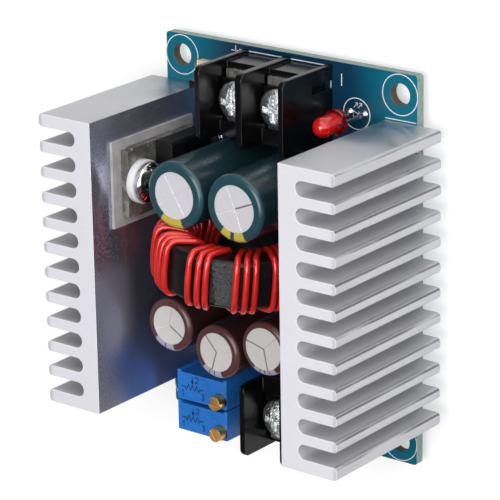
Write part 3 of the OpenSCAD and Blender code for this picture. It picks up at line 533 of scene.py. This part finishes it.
# Cans: colour, and the angles of the vent grooves with painted shade in them
CAN_BRIGHT = (0.82, 0.81, 0.86)
CAN_WARM = (0.80, 0.77, 0.75)
CANS = {
    "input_capacitor_1_can": (CAN_BRIGHT, ()),
    "input_capacitor_2_can": (CAN_BRIGHT, (22,)),
    "output_capacitor_1_can": (CAN_WARM, (328,)),
    "output_capacitor_2_can": (CAN_WARM, (131, 253)),
    "output_capacitor_3_can": (CAN_WARM, (165, 282)),
}

# Mask tones: the darker is painted shade in the board's middle; the paler is mask over copper and
# the painted light towards the long sides
MASK_SHADED_TONE = (0.001, 0.028, 0.068)
MASK_COPPER_AND_LIT_TONE = (0.001, 0.130, 0.200)

heatsinks = {node: aluminium_extrusion(node) for node in ("heatsink_left", "heatsink_right")}
board_mask = solder_mask("solder_mask", MASK_SHADED_TONE, MASK_COPPER_AND_LIT_TONE)
# The tracks carry the same painted light, paler towards the board's long sides
track_mask = solder_mask("solder_mask_over_copper", shade(MASK_COPPER_AND_LIT_TONE, 1.05),
                         shade(MASK_COPPER_AND_LIT_TONE, 1.3))
pad_silicone = silicone_pad("silicone_pad")
tab_metal = stained_tab("stained_tab")
tinned = cast_metal("tinned_brass", (0.66, 0.64, 0.60), roughness=0.34)
tin_bright = cast_metal("bright_tin", (0.80, 0.80, 0.80), roughness=0.2)
solder = cast_metal("solder", (0.78, 0.78, 0.80), roughness=0.2, relief=0.03)
zinc = cast_metal("bright_zinc", (0.88, 0.90, 0.92), roughness=0.1, grain_per_mm=1.7, relief=0.28,
                  metallic=0.93)
# The clamps are coloured near black as painted shade in the recess above the screws.
clamp_shaded_dark = cast_metal("clamp_metal_dark_as_shade", (0.03, 0.03, 0.034), roughness=0.35)
nickel = cast_metal("nickel_plate", (0.82, 0.81, 0.79), roughness=0.07, relief=0.003, dull=0.88)
brass = cast_metal("turned_brass", (0.92, 0.60, 0.24), roughness=0.46, dull=0.85)
epoxy = moulded_plastic("moulding_epoxy", (0.003, 0.003, 0.0035), roughness=0.42, specular=0.35)
terminal_plastic = moulded_plastic("terminal_plastic", (0.002, 0.002, 0.0025), roughness=0.22,
                                   relief=0.003, specular=0.4)
nylon = moulded_plastic("white_nylon", (0.66, 0.67, 0.69), roughness=0.4, light=1.06)
bung_rubber = moulded_plastic("bung_rubber", (0.012, 0.012, 0.012), roughness=0.75)
trimmer_blue = moulded_plastic("trimmer_blue", (0.018, 0.155, 0.52), roughness=0.3, light=1.15)
chip_black = moulded_plastic("resistor_glaze", (0.014, 0.014, 0.014), roughness=0.4)
chip_tan = moulded_plastic("capacitor_ceramic", (0.60, 0.48, 0.36), roughness=0.5, light=1.12)
cans = {node: can_metal(node, axis_mm(node), *values) for node, values in CANS.items()}
core_coat = powder_core("powder_core")
enamel = wire_enamel("wire_enamel")
resin = lamp_resin("lamp_resin")
white_ink = printed_ink("white_ink", (0.80, 0.81, 0.80))
dark_ink = printed_ink("dark_ink", (0.006, 0.020, 0.075))
sleeves = {node: shrink_sleeve(node, axis_mm(node), *values) for node, values in SLEEVES.items()}


# Finishes and edges of the CAD nodes

EDGE_ANGLE = math.radians(38)
FLAT_ANGLE = math.radians(0.5)
WELD_REACH = 0.001
BEVEL_SEGMENTS = 2


def soften(node, width):
    """Rounds a solid's edges a little, as moulding, sawing or plating leaves them."""
    made = nodes[node].modifiers
    weld = made.new("weld", "WELD")
    weld.merge_threshold = WELD_REACH * MM
    planes = made.new("planes", "DECIMATE")
    planes.decimate_type = "DISSOLVE"
    planes.angle_limit = FLAT_ANGLE
    bevel = made.new("bevel", "BEVEL")
    bevel.width = width * MM
    bevel.segments = BEVEL_SEGMENTS
    bevel.limit_method = "ANGLE"
    bevel.angle_limit = EDGE_ANGLE
    bevel.use_clamp_overlap = False
    flat = made.new("flat", "WEIGHTED_NORMAL")
    flat.mode = "FACE_AREA"
    flat.weight = 100


def dress(node, finish, edge):
    """Gives a CAD node its finish, and edges of a small radius in millimetres."""
    obj = nodes[node]
    obj.data.materials.clear()
    obj.data.materials.append(finish.material)
    obj.data.polygons.foreach_set("use_smooth", [True] * len(obj.data.polygons))
    soften(node, edge)


dress("pcb", board_mask, 0.05)
for node, finish in heatsinks.items():
    dress(node, finish, 0.12)
for device in ("transistor", "rectifier"):
    dress(f"{device}_pad", pad_silicone, 0.08)
    dress(f"{device}_leadframe", tab_metal, 0.06)
    dress(f"{device}_body", epoxy, 0.12)
    dress(f"{device}_bush", nylon, 0.12)
    dress(f"{device}_screw", nickel, 0.08)
for end in ("input", "output"):
    dress(f"{end}_terminal_housing", terminal_plastic, 0.12)
    dress(f"{end}_terminal_contacts", tinned, 0.08)
    dress(f"{end}_terminal_clamps", clamp_shaded_dark, 0.12)
    dress(f"{end}_terminal_screws", zinc, 0.08)
for i in (1, 2):
    dress(f"trimmer_{i}_body", trimmer_blue, 0.14)
    dress(f"trimmer_{i}_screw", brass, 0.06)
    dress(f"trimmer_{i}_pins", tin_bright, 0.05)
for node, finish in (*cans.items(), *sleeves.items()):
    dress(node, finish, 0.03)
dress("capacitor_bungs", bung_rubber, 0.1)
dress("capacitor_leads", tin_bright, 0.05)
dress("toroid_core", core_coat, 0.1)
dress("toroid_winding", enamel, 0.05)
dress("led_lens", resin, 0.05)
dress("led_leads", tin_bright, 0.06)
for chip in ("controller", "amplifier"):
    dress(f"{chip}_body", epoxy, 0.06)
    dress(f"{chip}_leads", tin_bright, 0.03)
dress("shunt_resistor", chip_black, 0.05)
dress("chip_resistors", chip_black, 0.04)
dress("chip_capacitors", chip_tan, 0.06)
dress("chip_end_caps", tin_bright, 0.05)
dress("solder_joints", solder, 0.1)


# Makers of new pieces

def add_piece(name, fill, finish, body=BODY, smooth=True):
    """A mesh object, filled in millimetres by fill(bmesh), that rides on a body."""
    bm = bmesh.new()
    fill(bm)
    bmesh.ops.scale(bm, vec=(MM, MM, MM), verts=bm.verts)
    bmesh.ops.recalc_face_normals(bm, faces=bm.faces)
    mesh = bpy.data.meshes.new(name)
    bm.to_mesh(mesh)
    bm.free()
    mesh.polygons.foreach_set("use_smooth", [smooth] * len(mesh.polygons))
    mesh.materials.append(finish.material)
    obj = bpy.data.objects.new(name, mesh)
    bpy.context.scene.collection.objects.link(obj)
    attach(obj, body)
    return obj


def turn_points(centre, radius, start, end, steps):
    """Points round a centre, from one angle in degrees to another."""
    angles = [math.radians(start + (end - start) * i / steps) for i in range(steps + 1)]
    return [Vector((centre[0] + radius * math.cos(a), centre[1] + radius * math.sin(a)))
            for a in angles]


def join_rings(bm, rings, wrap=False):
    """Quads between neighbouring rings of vertices, and from the last to the first to wrap."""
    pairs = list(zip(rings, rings[1:])) + ([(rings[-1], rings[0])] if wrap else [])
    for low, high in pairs:
        for j in range(len(low)):
            k = (j + 1) % len(low)
            bm.faces.new((low[j], low[k], high[k], high[j]))


def sweep(bm, path, radius, sides):
    """A round tube along a path, with its section carried on without twist."""
    along = [(path[min(i + 1, len(path) - 1)] - path[max(i - 1, 0)]).normalized()
             for i in range(len(path))]
    across = along[0].orthogonal().normalized()
    rings = []
    for point, direction in zip(path, along):
        across = (across - across.dot(direction) * direction).normalized()
        up = direction.cross(across)
        rings.append([bm.verts.new(point + radius * (math.cos(a) * across + math.sin(a) * up))
                      for a in (2 * math.pi * j / sides for j in range(sides))])
    join_rings(bm, rings)
    bm.faces.new(reversed(rings[0]))
    bm.faces.new(rings[-1])


def lathe(bm, centre, profile, sides=24):
    """A closed ring turned about the vertical from a closed profile of radius and height."""
    rings = [[bm.verts.new((p.x, p.y, centre[2] + height))
              for p in turn_points(centre, radius, 0, 360, sides)[:-1]]
             for radius, height in profile]
    join_rings(bm, rings, wrap=True)


def prism(bm, outline, low, high):
    """A closed block over a flat outline."""
    rings = [[bm.verts.new((p[0], p[1], z)) for p in outline] for z in (low, high)]
    join_rings(bm, rings)
    for ring in rings:
        bm.faces.new(ring)


def ribbon(bm, points, width, low, high, closed=False):
    """A closed block of even width along a flat line, mitred at its corners."""
    points = [Vector(p) for p in points]
    steps = [(b - a).normalized() for a, b in zip(points, points[1:] + points[:1])]
    last = len(points) - 1
    sections = []
    for i, point in enumerate(points):
        before = steps[i - 1] if closed or i > 0 else steps[0]
        after = steps[i] if closed or i < last else steps[last - 1]
        across = (before + after).normalized().orthogonal()
        reach = across * width / 2 / max(0.5, abs(across.dot(before.orthogonal())))
        left, right = point + reach, point - reach
        corners = ((left, low), (right, low), (right, high), (left, high))
        sections.append([bm.verts.new((*flat, z)) for flat, z in corners])
    join_rings(bm, sections, wrap=closed)
    if not closed:
        bm.faces.new(sections[0])
        bm.faces.new(sections[-1])


ARC_STEPS = 64


class Marks:
    """Flat shapes between two heights, gathered as one mesh."""

    def __init__(self, low, high):
        self.heights = (low, high)
        self.makers = []

    def area(self, outline):
        self.makers.append(lambda bm: prism(bm, outline, *self.heights))

    def line(self, points, width, closed=False):
        self.makers.append(lambda bm: ribbon(bm, points, width, *self.heights, closed))

    def ring(self, centre, radius, width):
        points = turn_points(centre, radius, 0, 360, ARC_STEPS)[:-1]
        self.line(points, width, closed=True)

    def frame(self, low, high, width):
        corners = [(low[0], low[1]), (high[0], low[1]), (high[0], high[1]), (low[0], high[1])]
        self.line(corners, width, closed=True)

    def fill(self, bm):
        for make in self.makers:
            make(bm)


# Winding: the strands of the CAD node, laid with small human errors and drawn smooth

CORE_ID = 14.4
CORE_T = 7.4
CORE_EDGE_R = 0.8
CORE_YAW = math.radians(-6)
STRAND_D = 0.94
STRAND_GAP = 0.03
STRAND_PITCH = STRAND_D + STRAND_GAP
STRAND_OFF = STRAND_D / 2 + STRAND_GAP
# Degrees between strands on the rim, and their spread in the bore as a share of the pitch
STRAND_STEP = 6.8
BORE_SLACK = 1.09
# Degrees at which the middle strand crosses the rim, turn by turn
TURN_ANGLES = (-48, -15, 18, 45, 80, 117, 147, 180, 213)
FACE_SHARE = 0.25
TAIL_BEND = 1.6
TAIL_FLARE = 0.25
TAIL_FOOT = 0.1
# Human errors: how far a strand bows off the rim, and slips along it in degrees
LAYING_SEED = 5
RIM_BOW = 0.2
BOW_SHARES = (0.6, 1.4)
RIM_SLIP = 0.7
BEND_STEPS = 6
PATH_STEP = 0.35
SMOOTH_PASSES = 8
STRAND_SIDES = 14

core_low, core_high = box_mm("toroid_core")
wind_out = (core_high.z - core_low.z) / 2 + STRAND_OFF
wind_in = CORE_ID / 2 - STRAND_OFF
wind_half = CORE_T / 2 + STRAND_OFF
bend_r = CORE_EDGE_R + STRAND_OFF
straight = wind_half - bend_r
bore_step = math.degrees(BORE_SLACK * STRAND_PITCH / wind_in)
laying = random.Random(LAYING_SEED)


def on_ring(radius, depth, angle):
    """A point of the standing ring from its radius, its depth along the axis and its angle."""
    turn = math.radians(angle)
    flat = Vector((radius * math.cos(turn), -depth, radius * math.sin(turn)))
    return ring_centre + Matrix.Rotation(CORE_YAW, 3, "Z") @ flat


def bend(radius, depth, first, share, step):
    """Points of one bend of a turn, with the share of the way on and the step between strands."""
    points = turn_points((radius, depth), bend_r, first, first + 90, BEND_STEPS)
    return [(p.x, p.y, share, step) for p in points]


def turn_section(bow):
    """One turn round the core's section, from the middle of the rim to the middle of the rim."""
    outer, inner = wind_out - bend_r, wind_in + bend_r
    return [(wind_out + bow, 0, 0, STRAND_STEP),
            *bend(outer, straight, 0, 0, STRAND_STEP),
            *bend(inner, straight, 90, FACE_SHARE, bore_step),
            *bend(inner, -straight, 180, 1 - FACE_SHARE, bore_step),
            *bend(outer, -straight, 270, 1, STRAND_STEP),
            (wind_out + bow, 0, 1, STRAND_STEP)]


def smoothed(points, passes):
    """The points with their corners eased, and the same ends."""
    for _ in range(passes):
        inner = [(a + 2 * b + c) / 4 for a, b, c in zip(points, points[1:], points[2:])]
        points = [points[0], *inner, points[-1]]
    return points


def densified(points, step):
    """The points with others between them, about a step apart."""
    filled = [points[0]]
    for a, b in zip(points, points[1:]):
        count = max(1, round((b - a).length / step))
        filled += [a.lerp(b, i / count) for i in range(1, count + 1)]
    return filled


def tail(index, place):
    """The end of a strand, from the underside of the board up to the rim."""
    depth = (-straight, straight)[index]
    angle = TURN_ANGLES[-index]
    side = math.copysign(TAIL_FLARE, math.cos(math.radians(angle)))
    rim = on_ring(wind_out, depth, angle + place * STRAND_STEP)
    axis = on_ring(0, depth, angle)
    reach = on_ring(wind_out, depth, angle) - axis
    along = Matrix.Rotation(CORE_YAW, 3, "Z") @ Vector((1, 0, 0))
    foot = axis + along * (reach.dot(along) + side + place * STRAND_PITCH)
    return [Vector((foot.x, foot.y, TAIL_FOOT)), Vector((foot.x, foot.y, rim.z - TAIL_BEND)), rim]


def strand_path(place):
    """The middle line of one of three strands, whose place is -1, 0 or 1."""
    slips = [laying.uniform(-RIM_SLIP, RIM_SLIP) for _ in TURN_ANGLES]
    points = tail(0, place)
    for k, (start, end) in enumerate(zip(TURN_ANGLES, TURN_ANGLES[1:])):
        for radius, depth, share, step in turn_section(RIM_BOW * laying.uniform(*BOW_SHARES)):
            rim = max(0.0, (radius - wind_in - bend_r) / (wind_out - wind_in - bend_r))
            slip = rim * (slips[k] * (1 - share) + slips[k + 1] * share)
            angle = place * step + start + share * (end - start) + slip
            points.append(on_ring(radius, depth, angle))
    points += reversed(tail(1, place))
    return smoothed(densified(points, PATH_STEP), SMOOTH_PASSES)


def fill_winding(bm):
    for place in (-1, 0, 1):
        sweep(bm, strand_path(place), STRAND_D / 2, STRAND_SIDES)


winding = add_piece("coil_winding", fill_winding, enamel)
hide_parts("toroid_winding")


# Board: print on the upper side

PRINT_W = 0.13
PRINT_T = 0.03
PRINT_RIM = 0.15
EMBED = 0.01
MOUNT_RING_R = 3.05
LAMP_RING_R = 2.35
LAMP_SYMBOL_HALF = 0.5
LAMP_SYMBOL_OFF = 0.1
SINK_LINE_OFF = 0.25
SINK_LINE_END = 0.2
CAN_RING_OFF = 0.22
OUTLINE_REACH = {"input_terminal_housing": -0.3, "output_terminal_housing": -0.3,
                 "trimmer_1_body": 0.25, "trimmer_2_body": 0.25}
PLUS_HALF = 0.8
PLUS_SIGNS = ((-9.7, 28.9), (-4.0, -16.2))
MINUS_SIGNS = (((9.7, 26.5), (9.7, 28.3)), ((16.0, -26.5), (16.0, -28.3)))

lamp_at = middle_mm("led_leads")
legend = Marks(board_high.z - EMBED, board_high.z + PRINT_T)


def plus_sign(marks, x, y):
    marks.line([(x - PLUS_HALF, y), (x + PLUS_HALF, y)], PRINT_W)
    marks.line([(x, y - PLUS_HALF), (x, y + PLUS_HALF)], PRINT_W)


def lamp_symbol(marks, x, y, half):
    """A generic diode sign with two arrows for light."""
    width = PRINT_W * 0.8
    barb = 0.4
    marks.line([(x - half, y + half), (x - half, y - half), (x + half, y)], width, closed=True)
    marks.line([(x + half, y - half), (x + half, y + half)], width)
    for shift in (0.0, 0.75):
        start, tip = (x - 0.4 + shift, y + 1.0), (x + 0.25 + shift, y + 1.75)
        marks.line([start, tip], width)
        marks.line([(tip[0] - barb, tip[1]), tip, (tip[0], tip[1] - barb)], width)


def outlined(marks, node, reach):
    """The outline of a node on the board, kept on the board."""
    low, high = box_mm(node)
    marks.frame((low.x - reach, max(low.y - reach, board_low.y + PRINT_RIM)),
                (high.x + reach, min(high.y + reach, board_high.y - PRINT_RIM)), PRINT_W)


for spot in [(sx * hole_x, sy * hole_y) for sx in (-1, 1) for sy in (-1, 1)]:
    legend.ring(spot, MOUNT_RING_R, PRINT_W)
legend.ring(lamp_at, LAMP_RING_R, PRINT_W)
lamp_symbol(legend, lamp_at.x - LAMP_SYMBOL_OFF, lamp_at.y - LAMP_SYMBOL_OFF, LAMP_SYMBOL_HALF)
sink_low, sink_high = box_mm("heatsink_right")
for y in (sink_low.y - SINK_LINE_OFF, sink_high.y + SINK_LINE_OFF):
    legend.line([(sink_low.x, y), (board_high.x - SINK_LINE_END, y)], PRINT_W)
for node, reach in OUTLINE_REACH.items():
    outlined(legend, node, reach)
for node in SLEEVES:
    low, high = box_mm(node)
    legend.ring((low + high) / 2, (high.x - low.x) / 2 + CAN_RING_OFF, PRINT_W)
for spot in PLUS_SIGNS:
    plus_sign(legend, *spot)
for ends in MINUS_SIGNS:
    legend.line(ends, PRINT_W)
add_piece("board_print", legend.fill, white_ink, smooth=False)


# Board: pads and solder on the upper side

SOLDER_RISE = 0.4
HOLE_CLEAR = 0.1
# The fillet's curve as shares of the way out to the pad's rim and of the rise
FILLET = ((1.0, 0.06), (0.75, 0.14), (0.5, 0.30), (0.25, 0.58), (0.08, 1.0))
LAMP_PAD_R = 0.7
DEVICE_PAD_R = 1.05


def solder_collar(bm, at, lead, pad):
    """A solder fillet that climbs a lead from its pad, both given by their radius."""
    slope = [(lead + (pad - lead) * share, SOLDER_RISE * rise) for share, rise in FILLET]
    profile = [(lead - HOLE_CLEAR, -EMBED), (pad, -EMBED), *slope,
               (lead - HOLE_CLEAR, SOLDER_RISE)]
    lathe(bm, (at.x, at.y, board_high.z), profile)


def parts_of(node):
    """The boxes of a node's separate solids, in millimetres, as low and high corners."""
    bm = bmesh.new()
    bm.from_mesh(nodes[node].data)
    bmesh.ops.remove_doubles(bm, verts=bm.verts, dist=WELD_REACH * MM)
    waiting = set(bm.verts)
    boxes = []
    while waiting:
        reached = [waiting.pop()]
        for vert in reached:
            ends = {edge.other_vert(vert) for edge in vert.link_edges} & waiting
            waiting -= ends
            reached += ends
        places = [vert.co / MM for vert in reached]
        boxes.append((Vector(map(min, zip(*places))), Vector(map(max, zip(*places)))))
    bm.free()
    return sorted(boxes, key=lambda box: tuple(box[0]))


def leads_of(node):
    """Middle and size of those solids of a node that pass down through the board."""
    return [((low + high) / 2, high - low) for low, high in parts_of(node)
            if low.z < board_high.z - 1]


def fill_top_solder(bm):
    for at, size in leads_of("led_leads"):
        solder_collar(bm, at, size.x * 0.6, LAMP_PAD_R)
    for device in ("transistor", "rectifier"):
        for at, size in leads_of(f"{device}_leadframe"):
            solder_collar(bm, at, size.y * 0.5, DEVICE_PAD_R)


add_piece("top_solder", fill_top_solder, solder)


# Board: tracks under the mask of the lower side, and the pads and vias that stand clear of it

TRACK_T = 0.05
SIGNAL_W = 0.4
PAD_T = 0.02
PAD_W = 0.4
PAD_OFF = 0.1
VIA_R = 0.32
VIA_W = 0.24
POWER_ROUTES = (
    (3.0, ((-3.81, 20.05), (-5.6, 18.2), (-7.99, 14.9), (-7.99, 12.34))),
    (2.6, ((-7.99, 12.34), (-9.6, 10.7), (-11.9, 9.56), (-13.49, 9.56))),
    (2.8, ((3.81, 20.05), (2.99, 18.6), (2.99, 12.34), (-2.99, 12.34))),
    (2.6, ((-13.49, 12.1), (-16.6, 9.0), (-16.6, 5.0), (-11.02, 0.1))),
    (2.6, ((14.29, 12.1), (11.6, 9.4), (8.0, 5.9), (8.0, 3.93))),
    (2.6, ((8.0, 3.93), (9.2, 2.7), (9.2, 0.0), (11.6, -2.5))),
    (2.8, ((14.8, -2.5), (17.0, -4.7), (17.0, -14.8), (11.03, -20.75))),
    (2.4, ((9.02, -9.83), (11.4, -12.2), (11.4, -17.0), (11.03, -20.75))),
    (2.6, ((3.41, -20.75), (0.2, -17.5), (0.2, -12.22))),
    (2.0, ((0.2, -12.22), (2.9, -9.83), (5.53, -9.83))),
)
SIGNAL_ROUTES = (
    ((11.1, 22.7), (8.5, 22.7), (5.85, 20.05), (3.81, 20.05)),
    ((13.64, 22.7), (17.0, 19.3), (17.0, 17.35), (14.29, 14.64)),
    ((-4.44, -2.4), (-4.44, -3.6), (-7.7, -6.86), (-13.45, -6.86)),
    ((-3.17, -2.4), (-3.17, -4.4), (-6.6, -7.83), (-6.6, -10.5), (-7.76, -11.66),
     (-13.45, -11.66)),
    ((-1.9, -2.4), (-1.9, -4.7), (-5.4, -8.2), (-5.4, -11.9), (-7.56, -14.06),
     (-13.45, -14.06)),
    ((-0.63, -2.4), (-0.63, -4.3), (-1.2, -5.4)),
    ((0.63, -2.4), (0.63, -4.3), (1.2, -5.4)),
    ((4.44, -2.4), (6.0, -3.96), (10.4, -3.96), (11.6, -2.8)),
    ((-0.63, 3.6), (-0.63, 5.3), (-1.2, 6.4)),
    ((0.63, 3.6), (0.63, 5.3), (1.2, 6.4)),
    ((1.9, 3.6), (1.9, 6.0), (3.8, 7.9), (7.99, 10.2), (7.99, 12.34)),
    ((-3.17, 3.6), (-3.17, 5.4), (-6.0, 8.23), (-13.49, 14.64)),
    ((-15.57, -4.5), (-15.57, -6.24), (-14.95, -6.86)),
    ((-16.84, -4.5), (-16.84, -7.37), (-14.95, -9.26)),
    ((-14.3, 1.5), (-14.3, 3.2), (-9.0, 3.2), (-6.6, 0.8), (-4.44, 3.0)),
    ((-9.64, -20.92), (-9.64, -18.6), (-11.78, -16.46), (-13.45, -16.46)),
    ((-12.19, -23.12), (-16.4, -18.9), (-16.4, -17.2), (-15.66, -16.46), (-14.95, -16.46)),
    ((-7.1, -23.12), (-4.73, -20.75), (3.41, -20.75)),
    ((-12.19, -28.2), (-15.4, -25.0), (-15.4, -22.0), (-12.19, -23.12)),
)
VIAS = ((-6.0, -8.9), (-4.2, -14.6), (6.9, -3.1), (-9.6, 3.2), (5.2, 8.6), (15.6, 17.4),
        (-16.4, -20.4), (16.9, -8.0), (16.9, -10.0), (16.9, -12.0), (-16.6, 7.4), (-16.6, 6.0),
        (4.6, 16.4), (-5.9, 16.4))

tracks = Marks(board_low.z - TRACK_T, board_low.z + EMBED)
for width, route in POWER_ROUTES:
    tracks.line(route, width)
for route in SIGNAL_ROUTES:
    tracks.line(route, SIGNAL_W)
add_piece("board_tracks", tracks.fill, track_mask, smooth=False)

pads = Marks(board_low.z - TRACK_T - PAD_T, board_low.z + EMBED)
for low, high in parts_of("solder_joints"):
    pads.ring((low + high) / 2, (high.x - low.x) / 2 + PAD_OFF, PAD_W)
for spot in VIAS:
    pads.ring(spot, VIA_R, VIA_W)
add_piece("board_pads", pads.fill, tin_bright, smooth=False)


# Marks on the trimmers: a generic variable resistor sign with the numbers of its pins

MARK_T = 0.02
MARK_W = 0.16
DIGIT_W = 0.15
DIGIT_HEIGHT = 0.9
DIGIT_ASPECT = 0.6
# One stroke to a digit, on a square of side 1
DIGITS = {
    1: ((0.1, 0.75), (0.5, 1.0), (0.5, 0.0)),
    2: ((0.0, 0.8), (0.2, 1.0), (0.8, 1.0), (1.0, 0.75), (0.9, 0.5), (0.0, 0.0), (1.0, 0.0)),
    3: ((0.0, 1.0), (0.9, 1.0), (0.45, 0.6), (0.9, 0.45), (0.9, 0.15), (0.6, 0.0), (0.0, 0.05)),
}
# Places of the sign's parts from the middle of the body
PIN_PLACES = {1: (-3.9, -1.75), 2: (-1.2, 0.75), 3: (-0.1, -1.75)}
RESISTOR_Y = -0.2
LEFT_WIRE = (-3.9, -3.2)
RIGHT_WIRE = (-0.4, 0.3)
ZIGZAG_X = -3.0
ZIGZAG_STEP = 0.4
ZIGZAG_HALF = 0.45
ZIGZAG_CORNERS = 7
ARROW_X = -1.8
ARROW_SHAFT = (1.5, 0.45)
ARROW_HEAD = (0.9, 0.3)
ARROW_HALF = 0.3


def resistor_sign(marks, at):
    """A zigzag between two wires, an arrow down to it, and the digits of the pins."""
    level = at.y + RESISTOR_Y
    swing = (-ZIGZAG_HALF, ZIGZAG_HALF)
    line = [(at.x + x, level) for x in LEFT_WIRE]
    line += [(at.x + ZIGZAG_X + ZIGZAG_STEP * k, level + swing[k % 2])
             for k in range(ZIGZAG_CORNERS)]
    line += [(at.x + x, level) for x in RIGHT_WIRE]
    marks.line(line, MARK_W)
    arrow = at.x + ARROW_X
    back, tip = (at.y + y for y in ARROW_HEAD)
    marks.line([(arrow, at.y + y) for y in ARROW_SHAFT], MARK_W)
    marks.area([(arrow - ARROW_HALF, back), (arrow, tip), (arrow + ARROW_HALF, back)])
    for pin, (x, y) in PIN_PLACES.items():
        stroke = [(at.x + x + DIGIT_ASPECT * DIGIT_HEIGHT * u, at.y + y + DIGIT_HEIGHT * v)
                  for u, v in DIGITS[pin]]
        marks.line(stroke, DIGIT_W)


for i in (1, 2):
    low, high = box_mm(f"trimmer_{i}_body")
    marks = Marks(high.z - EMBED, high.z + MARK_T)
    resistor_sign(marks, (low + high) / 2)
    add_piece(f"trimmer_{i}_mark", marks.fill, dark_ink, smooth=False)


# Lamp: the two posts inside the resin, one of them with the cup that holds the die

POST_SHARE = 0.9
# Heights of the posts' feet, necks and rims above the underside of the lens
POST_FOOT = 0.1
POST_NECK = 2.0
CUP_RIM = 2.9


def fill_lamp_frame(bm):
    floor = box_mm("led_lens")[0].z
    (left, size), (right, _) = leads_of("led_leads")
    half = size.x / 2 * POST_SHARE
    base, neck, cup = floor + POST_FOOT, floor + POST_NECK, floor + CUP_RIM
    middle = (left.x + right.x) / 2
    anvil = [(left.x - half, base), (left.x + half, base), (left.x + half, neck),
             (middle + 0.35, cup - 0.4), (middle + 0.35, cup), (middle + 0.15, cup - 0.25),
             (middle - 0.35, cup - 0.25), (middle - 0.55, cup), (left.x - half, neck)]
    post = [(right.x - half, base), (right.x + half, base), (right.x + half, neck),
            (middle + 0.95, cup - 0.1), (middle + 0.6, cup - 0.1), (right.x - half, neck - 0.5)]
    for outline in (anvil, post):
        rings = [[bm.verts.new((x, y, z)) for x, z in outline]
                 for y in (left.y - half, left.y + half)]
        join_rings(bm, rings)
        for ring in rings:
            bm.faces.new(ring)


add_piece("lamp_frame", fill_lamp_frame, tin_bright, smooth=False)


# Stage, light and camera

AMBIENT = 0.08
FLOOR_HALF = 2.0
FLOOR_COLOR = 0.6
FLOOR_LIFTS = {"Is Camera Ray": 0.5, "Is Glossy Ray": 0.2, "Is Transmission Ray": 0.5}

world = bpy.data.worlds.new("studio")
bpy.context.scene.world = world
world.use_nodes = True
world.node_tree.nodes["Background"].inputs["Color"].default_value = (1, 1, 1, 1)
world.node_tree.nodes["Background"].inputs["Strength"].default_value = AMBIENT


def lift_seen(tree):
    """How much the floor is lifted: the largest amount among the kinds of ray that meet it."""
    path = tree.nodes.new("ShaderNodeLightPath")
    level = None
    for kind, amount in FLOOR_LIFTS.items():
        share = tree.nodes.new("ShaderNodeMath")
        share.operation = "MULTIPLY"
        tree.links.new(path.outputs[kind], share.inputs[0])
        share.inputs[1].default_value = amount
        if level is None:
            level = share.outputs[0]
            continue
        either = tree.nodes.new("ShaderNodeMath")
        either.operation = "MAXIMUM"
        tree.links.new(level, either.inputs[0])
        tree.links.new(share.outputs[0], either.inputs[1])
        level = either.outputs[0]
    return level


def make_floor():
    """A matt sheet under the object, lifted to white for rays that see it, not for its light."""
    bm = bmesh.new()
    bmesh.ops.create_grid(bm, x_segments=2, y_segments=2, size=FLOOR_HALF)
    mesh = bpy.data.meshes.new("floor")
    bm.to_mesh(mesh)
    bm.free()
    floor = bpy.data.objects.new("floor", mesh)
    floor.location.z = cad_box[0].z
    bpy.context.scene.collection.objects.link(floor)
    paper = bpy.data.materials.new("white_paper")
    paper.use_nodes = True
    tree = paper.node_tree
    tree.nodes.clear()
    matt = tree.nodes.new("ShaderNodeBsdfDiffuse")
    matt.inputs["Color"].default_value = (FLOOR_COLOR, FLOOR_COLOR, FLOOR_COLOR, 1)
    lift = tree.nodes.new("ShaderNodeEmission")
    tree.links.new(lift_seen(tree), lift.inputs["Strength"])
    sheet = tree.nodes.new("ShaderNodeAddShader")
    tree.links.new(matt.outputs[0], sheet.inputs[0])
    tree.links.new(lift.outputs[0], sheet.inputs[1])
    out = tree.nodes.new("ShaderNodeOutputMaterial")
    tree.links.new(sheet.outputs[0], out.inputs["Surface"])
    mesh.materials.append(paper)


make_floor()


def softbox(name, toward, distance, size, power):
    """A square lamp that looks at the object from a direction."""
    data = bpy.data.lights.new(name, "AREA")
    data.shape = "SQUARE"
    data.size = size
    data.energy = power
    lamp = bpy.data.objects.new(name, data)
    direction = Vector(toward).normalized()
    lamp.location = direction * distance
    lamp.rotation_euler = direction.to_track_quat("Z", "Y").to_euler()
    bpy.context.scene.collection.objects.link(lamp)


# Lamps: direction from the object, distance and side in metres, and power in watts
SOFTBOXES = {
    "front_box": ((0.25, 0.12, 1.0), 0.8, 0.55, 5.0),
    "top_box": ((0.1, 1.0, 0.45), 0.9, 0.6, 2.0),
    "side_box": ((1.0, 0.5, 0.35), 0.9, 1.2, 8.5),
    "back_box": ((-1.0, -0.6, 0.35), 0.9, 0.6, 0.3),
}
for name, values in SOFTBOXES.items():
    softbox(name, *values)

# The camera as fitted to the photo, with its place and lens in millimetres
CAMERA_AT = Vector((247.68, 139.57, 329.69))
CAMERA_FORWARD = Vector((-0.5814, -0.3225, -0.7470))
CAMERA_UP = Vector((-0.1844, 0.9464, -0.2651))
CAMERA_LENS = 208.4
CAMERA_SENSOR = 36.0

camera_data = bpy.data.cameras.new("camera")
camera_data.lens = CAMERA_LENS
camera_data.sensor_width = CAMERA_SENSOR
camera = bpy.data.objects.new("camera", camera_data)
back = -CAMERA_FORWARD.normalized()
right = CAMERA_UP.cross(back).normalized()
facing = Matrix((right, back.cross(right), back)).transposed()
camera.matrix_world = Matrix.Translation(CAMERA_AT * MM) @ facing.to_4x4()
bpy.context.scene.collection.objects.link(camera)
bpy.context.scene.camera = camera
bpy.context.scene.view_settings.view_transform = "Standard"
